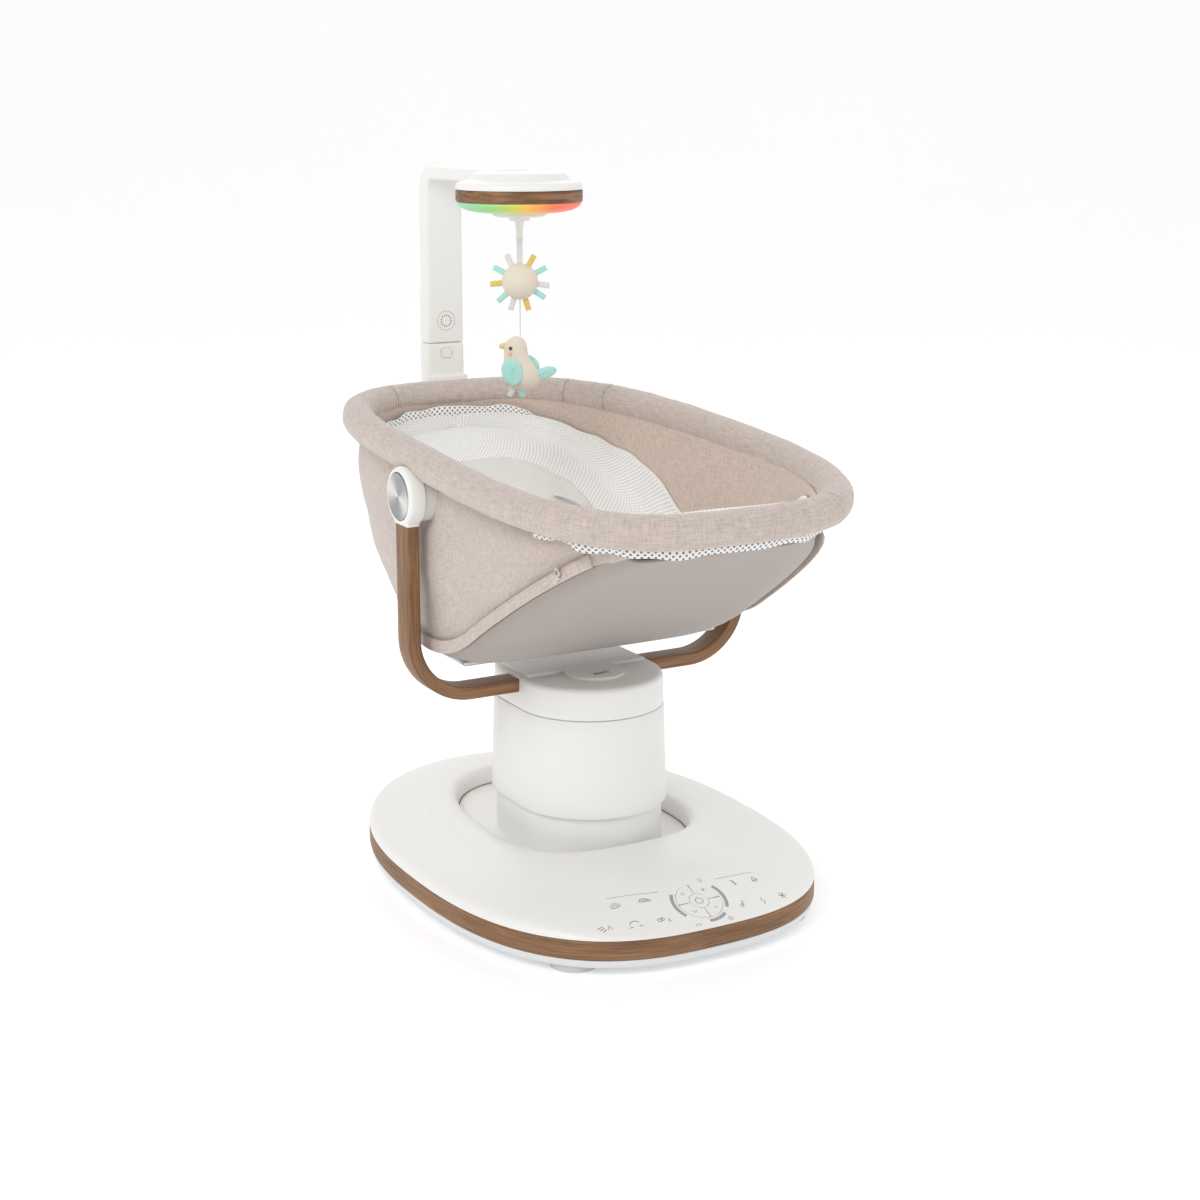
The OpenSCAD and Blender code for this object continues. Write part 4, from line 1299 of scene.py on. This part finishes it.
class SWING_OT_liner(bpy.types.Operator):
    """Lays the linen inner wall and the white mesh liner in the bassinet"""

    bl_idname = "swing.liner"
    bl_label = "Liner"

    def execute(self, context):
        count = 90
        walls, liner = [], []
        for i in range(count + 1):
            t = math.radians(-90 + 180 * i / count)
            y = RIM_Y + (BAG_L - 4) * sup(math.sin(t), RIM_N)
            half = max(0.05, (BAG_W - 6) * sup(max(0, math.cos(t)), RIM_N))
            top = rim_line(y) - 4
            bottom = min(top - 4, floor_line(y, 151) - 3)
            ring = bag_section(y, half, top, bottom, -4.5, 26, 0)
            walls.append([Vector((p.x + math.copysign(0.6, p.x)
                                  * wobble(p.y, p.z, 0, 22), p.y, p.z)) for p in ring])
            y = RIM_Y + (BAG_L - 15) * sup(math.sin(t), RIM_N)
            half = max(0.05, (BAG_W - 15) * sup(max(0, math.cos(t)), RIM_N))
            bottom = min(rim_line(y) - 16, floor_line(y, LINER_R))
            top = min(rim_line(y) - 13, bottom + between(LINER_EDGE, y))
            ring = bag_section(y, half, top, bottom, 0, 40, -2.0, (8, 8, 16))
            liner.append([Vector((p.x, p.y, p.z + 0.5 * wobble(p.x, p.y, 0, 30)))
                          for p in ring])
        wall = loft("wall", walls, around=False)
        thicken(wall, 1.6)
        # The inner wall gets the lighter, warmer copy of the linen: painted light.
        finish(smoothed(wall, 60), "inner_wall", "bassinet", "linen_painted_light_in")
        mat = loft("liner", liner, around=False)
        thicken(mat, 4.5)
        round_off(mat, 1.5, 2, 50)
        finish(smoothed(mat, 60), "mesh_liner", "bassinet", "mesh", ["liner"])

        rings = []
        for k in range(181):
            a = math.radians(62 + 92 * k / 180)
            x = (BAG_W - 13.5) * sup(math.cos(a), RIM_N)
            y = RIM_Y + (BAG_L - 13.5) * sup(math.sin(a), RIM_N)
            wave = 1.7 * math.sin(k * 0.24) + 1.2 * math.sin(k * 0.1 + 1)
            low = min(rim_line(y) - 20, floor_line(y, LINER_R) + between(LINER_EDGE, y) - 3)
            high = low + (13 + wave) * smooth(0, 24, k) + 1
            n = Vector((x / BAG_W ** 2, (y - RIM_Y) / BAG_L ** 2, 0)).normalized()
            rings.append([Vector((x, y, low + (high - low) * j / 5)) - n * (
                2.0 + 1.6 * math.sin(math.pi * j / 5) + 0.7 * math.sin(k * 0.33 + 2))
                for j in range(6)])
        edge = loft("edge", rings, around=False)
        thicken(edge, 1.0)
        finish(smoothed(edge, 60), "liner_net_edge", "bassinet", "net")
        return {"FINISHED"}


# Half width of the seat insert, along the swing.
INSERT_WIDE = [(-165, 70), (-150, 84), (-120, 94), (0, 100), (120, 114), (178, 118),
               (215, 114), (247, 92), (268, 66), (280, 34)]


class SWING_OT_insert(bpy.types.Operator):
    """Stuffs the seat insert and lays its strap"""

    bl_idname = "swing.insert"
    bl_label = "Seat insert"

    def execute(self, context):
        crown = sizes().pad_rise / MM
        top, under = [], []
        count = 72
        for i in range(count + 1):
            y = -164 + 444 * i / count
            half = between(INSERT_WIDE, y)
            end = min(1.0, min(i, count - i) / 5) ** 0.5
            over, below = [], []
            for k in range(33):
                u = -1 + 2 * k / 32
                edge = (1 - abs(u) ** 5) ** 0.6 * end
                base = floor_line(y, PAD_R) + 3.2
                swell = (3.5 + crown * (1 - u * u) ** 0.8) * edge
                swell -= 2.2 * math.exp(-((abs(u) - 0.86) / 0.05) ** 2) * edge
                over.append(Vector((half * u, y, base + swell)))
                below.append(Vector((half * u, y, base - 1.2 * edge)))
            top.append(over)
            under.append(below)
        rings = [o + list(reversed(b[1:-1])) for o, b in zip(top, under)]
        pad = loft("insert", rings, ends=(True, True))
        outwards(pad)
        relax(pad)
        modify(pad, "SUBSURF", levels=1, render_levels=1)
        finish(smoothed(pad), "seat_insert", "bassinet", "insert", ["insert_pad"])

        path = []
        for k in range(25):
            v = k / 24
            x, y = 62 + 33 * v, 180 - 32 * v
            path.append((x, y, floor_line(y, PAD_R) + 15.5 + 3 * math.sin(math.pi * v)))
        strap = swept("strap", path, rounded_rect(14, 1.4, 0.6, 2), (0.6961, 0.7179, 0))
        finish(smoothed(strap, 50), "seat_strap", "bassinet", "web")
        return {"FINISHED"}


def relax(obj):
    """Lets the stuffed pad settle under cloth pressure, moving no point more than a little."""
    only(obj)
    before = [v.co.copy() for v in obj.data.vertices]
    cloth = obj.modifiers.new("Cloth", "CLOTH")
    settings = cloth.settings
    settings.quality = 4
    settings.mass = 0.3
    settings.use_pressure = True
    settings.uniform_pressure_force = 3.0
    settings.effector_weights.gravity = 0
    settings.tension_stiffness = 20
    settings.bending_stiffness = 2
    cloth.point_cache.frame_start, cloth.point_cache.frame_end = 1, 12
    for number in range(1, 13):
        bpy.context.scene.frame_set(number)
    bpy.ops.object.modifier_apply(modifier=cloth.name)
    bpy.context.scene.frame_set(1)
    cap = 4 * MM
    for v, old in zip(obj.data.vertices, before):
        step = v.co - old
        if step.z < 0:
            step.z *= 0.2
        if step.length > cap:
            step *= cap / step.length
        v.co = old + step


class SWING_OT_post(bpy.types.Operator):
    """Makes the mobile's post, its mount and the lamp"""

    bl_idname = "swing.post"
    bl_label = "Post and lamp"

    def execute(self, context):
        mid = POST_Y + POST_D / 2
        path = [(0, mid, z) for z in (MOUNT_Z + 0.4, 690, 720, 760, 800, 840, 870, 882)]
        bend = 26
        top = POST_TOP - 9
        for k in range(1, 13):
            a = math.radians(90 * k / 12)
            path.append((0, mid - bend + bend * math.cos(a), top - bend + bend * math.sin(a)))
        for y in (350, 320, 290, 262, 236, 214, 196, 180):
            path.append((0, y, top))

        def shape(i):
            share = smooth(7, 19, i)
            wide = POST_W - 6 * smooth(20, len(path) - 1, i)
            return rounded_rect(wide, POST_D - (POST_D - 18) * share, 6 - 1.5 * share, 5)

        post = swept("post", path, shape, (1, 0, 0))
        finish(smoothed(post, 50), "post_body", "mobile", "shell",
               ["post_shell"])
        cover = box("back", (-POST_W / 2 + 1.5, POST_W / 2 - 1.5), (POST_Y + POST_D - 2, 421),
                    (MOUNT_Z + 0.6, 741), 2.0, 4)
        finish(cover, "post_back_cover", "mobile", "shell", ["post_back"])
        mount = box("mount", (-POST_W / 2, POST_W / 2), (POST_Y, POST_Y + POST_D + 3),
                    (609, MOUNT_Z - 0.2), 5.0, 5)
        collar = box("collar", (-POST_W / 2 - 1, POST_W / 2 + 1), (POST_Y - 8, POST_Y + 20),
                     (611, 625), 3.0, 4)
        mount = joined("mount", [mount, collar])
        finish(mount, "post_mount_block", "bassinet", "shell", ["post_mount"])
        dots = []
        for radius, number, size in ((7.8, 13, 1.15), (13.6, 24, 0.8)):
            for k in range(number):
                a = 2 * math.pi * k / number
                dots.append((radius * math.cos(a), 702 + radius * math.sin(a), size))
        points, faces = [], []
        for x, z, size in dots:
            base = len(points)
            for k in range(8):
                a = 2 * math.pi * k / 8
                points.append((x + size * math.cos(a), POST_Y - 0.06, z + size * math.sin(a)))
            faces.append(tuple(base + k for k in range(8)))
        holes = new_mesh("holes", points, faces)
        finish(holes, "speaker_holes", "mobile", "print")
        # A grey ring laid just in front of the post round its button: painted shade of the gap
        # between them.
        low, high = (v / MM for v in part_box("post_button"))
        wide, tall = (high.x - low.x) / 2 + 0.5, (high.z - low.z) / 2 + 0.5
        line = rounded_rect(2 * wide, 2 * tall, 4, 6)
        edge = new_mesh("edge", [(u * g, POST_Y - 0.05, (low.z + high.z) / 2 + v * g)
                                 for g in (1, 1.09) for u, v in line],
                        [(i, (i + 1) % len(line), len(line) + (i + 1) % len(line),
                          len(line) + i) for i in range(len(line))])
        finish(edge, "button_gap", "bassinet", "painted_gap_shade")

        for name, node, body, slot, look, steps, profile in (
                ("lamp_lid", "lamp_top", "mobile", "white_shell", "shell", 96,
                 [(0, 920), (52, 920), (58, 919.3), (62, 917), (66, 911), (71, 908.6), (78, 907),
                  (82, 905), (83.6, 902.6), (84, 899.6), (83.4, 897.4), (80, 897.1), (0, 897.1)]),
                ("lamp_wood_ring", "lamp_ring", "mobile", "walnut", "walnut_ring", 128,
                 [(74, 896.9), (82.6, 896.9), (83.6, 896.2), (84, 895), (84, 889), (84, 883),
                  (83.6, 881.8), (82.6, 881.1), (74, 881.1), (74, 896.9)]),
                ("lamp_lens", "light_diffuser", "mobile", "glow", "glow", 128,
                 [(36.4, 880.9), (82.6, 880.9), (82.2, 879), (80.4, 876.2), (76.6, 873.2),
                  (70, 870.3), (60, 868.1), (48, 866.7), (36.4, 866.2), (36.4, 880.9)]),
                ("lamp_foot_plate", "lamp_plate", "mobile", "white_shell", "shell", 96,
                 [(0, 866), (35.8, 866), (36, 864.4), (34.6, 862.4), (30, 861.1), (0, 861.1)]),
                ("spinner_hanger", "spinner_hub", "spinner", "white_shell", "shell", 48,
                 [(0, 860.6), (13, 860.6), (14, 860), (14, 857.4), (12.6, 856), (6.4, 855.4),
                  (5.8, 854), (4.4, 839), (4.6, 835.4), (5.6, 834), (5.4, 832.6), (0, 832.6)])):
            finish(turned(name, profile, y=LAMP_Y, steps=steps), name, body, look, [node])
        return {"FINISHED"}


def at_toys(obj, bird=False):
    """Turns a toy to face the front and puts it under the lamp; the bird is also plumped."""
    if bird:
        for v in obj.data.vertices:
            v.co.x = v.co.x * 1.1 - 1.5 * MM
            v.co.y *= 1.05
            v.co.z = BIRD_TOP * MM - (BIRD_TOP * MM - v.co.z) * 1.06
    obj.data.transform(Matrix.Translation((0, LAMP_Y * MM, 0)) @ Matrix.Rotation(TOY_TURN, 4, "Z"))
    return obj


def blob(name, rings, steps=40):
    """A soft closed form from (centre x, y, z, half width, half depth) rings up its height."""
    out = []
    for cx, cy, cz, hx, hy in rings:
        out.append([Vector((cx + hx * math.cos(2 * math.pi * k / steps),
                            cy + hy * math.sin(2 * math.pi * k / steps), cz))
                    for k in range(steps)])
    return outwards(loft(name, out, ends=(True, True)))


def leaf(name, centre, size, turn, thick, y):
    """A flat stuffed leaf or wing in the plane of the toys."""
    rings = []
    for k in range(25):
        v = -1 + 2 * k / 24
        wide = (1 - abs(v) ** 2.2) ** 0.55
        ring = []
        for j in range(20):
            a = 2 * math.pi * j / 20
            u = v * size[0]
            w = size[1] * wide * math.cos(a)
            d = thick * (0.35 + 0.65 * wide) * math.sin(a) * (1 if wide > 0 else 0)
            ring.append(Vector((centre[0] + u * math.cos(turn) - w * math.sin(turn), y + d,
                                centre[1] + u * math.sin(turn) + w * math.cos(turn))))
        rings.append(ring)
    return outwards(loft(name, rings, ends=(True, True)))


def ribbon_loop(name, root, angle, start, reach, apart, wide):
    """A folded ribbon standing out from a toy at an angle, in degrees."""
    a = math.radians(angle)
    out, across = Vector((math.cos(a), 0, math.sin(a))), Vector((-math.sin(a), 0, math.cos(a)))
    path = []
    for k in range(15):
        v = k / 14
        path.append(Vector(root) + out * (start + reach * math.sin(math.pi * v) ** 0.7)
                    + Vector((0, apart * math.cos(math.pi * v), 0)))
    return swept(name, path, rounded_rect(wide, 0.7, 0.3, 1), across)


class SWING_OT_toys(bpy.types.Operator):
    """Sews the hanging sun and bird"""

    bl_idname = "swing.toys"
    bl_label = "Hanging toys"

    def execute(self, context):
        strip = box("ribbon", (-4, 4), (-0.5, 0.5), (SUN_Z + SUN_R - 2, 834.6), 0.3, 1)
        finish(at_toys(strip), "hanging_ribbon", "toys", "white_ribbon",
               ["toy_ribbon"])
        deselect()
        bpy.ops.mesh.primitive_uv_sphere_add(segments=64, ring_count=40, radius=SUN_R * MM)
        sun = bpy.context.object
        for v in sun.data.vertices:
            x, y, z = v.co
            lump = 1 + 0.008 * wobble(x / MM, y / MM, z / MM, 7)
            seam = 1 - 0.02 * math.exp(-((y / MM) / 0.9) ** 2)
            v.co = (x * lump * seam, y * lump * 0.82, z * lump * seam)
        sun.data.transform(Matrix.Translation((0, 0, SUN_Z * MM)))
        finish(at_toys(smoothed(sun)), "sun_cushion", "toys", "cream",
               ["sun_ball"])
        tabs = {"yellow": (61, -73, -175), "teal": (28, -33, -138, 151), "white": (-8, -109, 116)}
        for kind, angles in tabs.items():
            tab = joined("tabs", [ribbon_loop("tab", (0, 0, SUN_Z), angle, SUN_R - 1.5, 17, 1.5,
                                              7.6) for angle in angles])
            finish(at_toys(smoothed(tab, 50)), "sun_tabs_" + kind, "toys",
                   kind + "_ribbon", ["sun_tabs"] if kind == "yellow" else ())

        rings = [(703.0, -3.2, 2.0), (702.0, -3.4, 5.5), (699.5, -3.8, 9.2), (695.5, -4.2, 12.2),
                 (690.5, -4.6, 13.8), (685, -4.4, 14.2), (679.5, -3.8, 14.6), (674, -2.8, 16.2),
                 (668, -1.4, 18.6), (661.5, 0.4, 21.2), (655, 2.2, 22.6), (649, 3.6, 22.2),
                 (643.5, 4.4, 19.6), (639, 4.8, 15.2), (635.8, 4.6, 9.6), (634.4, 4.2, 4.0)]
        bird = blob("bird", [(x, 0, z, half, half * 0.78) for z, x, half in rings])
        modify(bird, "SUBSURF", levels=1, render_levels=1)
        for v in bird.data.vertices:
            v.co.x *= 1 + 0.01 * wobble(v.co.x / MM, v.co.y / MM, v.co.z / MM, 6)
        finish(at_toys(smoothed(bird), True), "bird_cushion", "toys", "cream",
               ["bird_body"])

        wings = [leaf("wing", (-8.5, 659.5), (17.5, 12.6), math.radians(104), 2.8, -17.2),
                 leaf("wing", (15.5, 668.0), (11.5, 6.5), math.radians(130), 2.4, 9),
                 leaf("tail", (29.5, 655.5), (17.0, 7.4), math.radians(20), 2.4, 0)]
        wing = joined("wings", [smoothed(w) for w in wings])
        finish(at_toys(wing, True), "bird_wing_pads", "toys", "teal", ["bird_wings"])
        veins = []
        for line in ([(-12, -18.6, 644), (-8, -20.1, 659), (-5, -18.9, 673)],
                     [(-8.6, -20.1, 656), (-14, -19.2, 663)],
                     [(-8.2, -20.1, 652), (-3, -19.4, 658)],
                     [(-7.6, -20.1, 663), (-12, -19.2, 669)],
                     [(-7.4, -20.1, 660), (-2.4, -19.2, 666)],
                     [(17, -2.0, 650.6), (29.5, -2.6, 655.5), (43, -1.6, 660.6)]):
            veins.append(swept("vein", [Vector(p) for p in line],
                               rounded_rect(0.55, 0.55, 0.2, 1), (0, 1, 0)))
        vein = joined("veins", veins)
        finish(at_toys(vein, True), "bird_veins", "toys", "stitch")
        beak = leaf("beak", (-18.6, 690.6), (6.4, 3.9), math.radians(6), 3.4, 0)
        finish(at_toys(smoothed(beak), True), "bird_beak", "toys", "beak")
        eyes = []
        for y in (-10.6, 10.6):
            deselect()
            bpy.ops.mesh.primitive_uv_sphere_add(segments=20, ring_count=12, radius=2.2 * MM,
                                                 location=(-10.4 * MM, y * MM, 688.6 * MM))
            eyes.append(place_in_mesh(bpy.context.object))
        eye = joined("eyes", eyes)
        finish(at_toys(smoothed(eye), True), "bird_eyes", "toys", "eye")
        cheeks = [leaf("cheek", (-10.6, 681.4), (2.8, 2.8), 0, 0.5, y) for y in (-10.8, 10.8)]
        cheek = joined("cheeks", cheeks)
        finish(at_toys(smoothed(cheek), True), "bird_cheeks", "toys", "blush")
        for kind, x, turn in (("white", -7.5, -118), ("teal", 1.5, -76)):
            loop = ribbon_loop("loop", (x, -2, 637), turn, 0, 11.5, 1.6, 6.2)
            finish(at_toys(smoothed(loop, 50), True), "bird_loop_" + kind, "toys",
                   kind + "_ribbon")
        return {"FINISHED"}


class SWING_OT_stage(bpy.types.Operator):
    """Sets the pale floor, the soft lights and the camera"""

    bl_idname = "swing.stage"
    bl_label = "Stage"

    def execute(self, context):
        deselect()
        profile = [(-9.0, 0.0), (-3.0, 0.0), (0.0, 0.0), (3.0, 0.0), (5.0, 0.0)]
        profile += [(5 + 4 * math.sin(math.radians(a)), 4 - 4 * math.cos(math.radians(a)))
                    for a in range(6, 91, 6)] + [(9.0, 14.0)]
        rings = [[(x * 1000, y * 1000, z * 1000) for x in (-14, 14)] for y, z in profile]
        floor = loft("stage_floor", rings, around=False)
        floor.data.transform(Matrix.Rotation(VIEW_TURN, 4, "Z"))
        smoothed(floor)
        look = Look("Stage white", roughness=0.5, emission_strength=0.22)
        cloud = look.noise(look.place(), 0.8, 2.0)
        look.send("Base Color", look.mix(cloud, (0.93, 0.93, 0.93), (0.95, 0.95, 0.95)))
        look.shader.inputs["Emission Color"].default_value = (1, 1, 1, 1)
        floor.data.materials.append(look.material)

        world = bpy.data.worlds.new("Stage light")
        world.use_nodes = True
        background = world.node_tree.nodes["Background"]
        background.inputs[0].default_value = (1, 1, 1, 1)
        background.inputs[1].default_value = 0.72
        context.scene.world = world
        context.scene.view_settings.view_transform = "Standard"
        for name, place, aim, size, power in (
                ("key", (-2.6, -1.6, 3.0), (0, 0, 0.4), 1.8, 46),
                ("fill", (2.6, -2.2, 1.8), (0, 0, 0.4), 2.4, 13),
                ("back", (1.2, 2.8, 2.6), (0, 0, 0.5), 2.0, 14)):
            light = bpy.data.lights.new(name, "AREA")
            light.shape, light.size, light.energy = "SQUARE", size, power
            obj = linked(name, light)
            obj.location = place
            obj.rotation_euler = (Vector(aim) - Vector(place)).to_track_quat("-Z", "Y").to_euler()

        camera = bpy.data.cameras.new("camera")
        camera.sensor_width = 36
        camera.lens = 61.34
        camera.shift_y = -0.0555
        camera.clip_end = 100
        view = linked("camera", camera)
        view.location = (-1.2503, -2.2722, 1.0146)
        view.rotation_euler = (math.radians(77.977), 0, VIEW_TURN)
        context.scene.camera = view
        return {"FINISHED"}


class SWING_PT_panel(bpy.types.Panel):
    """The swing's pieces, in the order they are made"""

    bl_idname = "SWING_PT_panel"
    bl_label = "Baby Swing"
    bl_space_type = "VIEW_3D"
    bl_region_type = "UI"
    bl_category = "Baby Swing"

    def draw(self, context):
        for group in (colours(), sizes()):
            for name in group.__annotations__:
                self.layout.prop(group, name)
        for step in STEPS:
            self.layout.operator(step.bl_idname)


STEPS = (SWING_OT_stage, SWING_OT_cord, SWING_OT_frame_finishes, SWING_OT_rim,
         SWING_OT_side_fabric, SWING_OT_foot_shell, SWING_OT_liner, SWING_OT_insert,
         SWING_OT_base, SWING_OT_panel, SWING_OT_column, SWING_OT_yoke, SWING_OT_post,
         SWING_OT_toys)
CLASSES = (SwingColours, SwingSizes) + STEPS + (SWING_PT_panel,)


def register():
    for item in CLASSES:
        bpy.utils.register_class(item)
    bpy.types.Scene.swing_colours = bpy.props.PointerProperty(type=SwingColours)
    bpy.types.Scene.swing_sizes = bpy.props.PointerProperty(type=SwingSizes)


def unregister():
    del bpy.types.Scene.swing_sizes
    del bpy.types.Scene.swing_colours
    for item in reversed(CLASSES):
        bpy.utils.unregister_class(item)


def main():
    register()
    for step in STEPS:
        group, name = step.bl_idname.split(".")
        getattr(getattr(bpy.ops, group), name)()


if __name__ == "__main__":
    main()
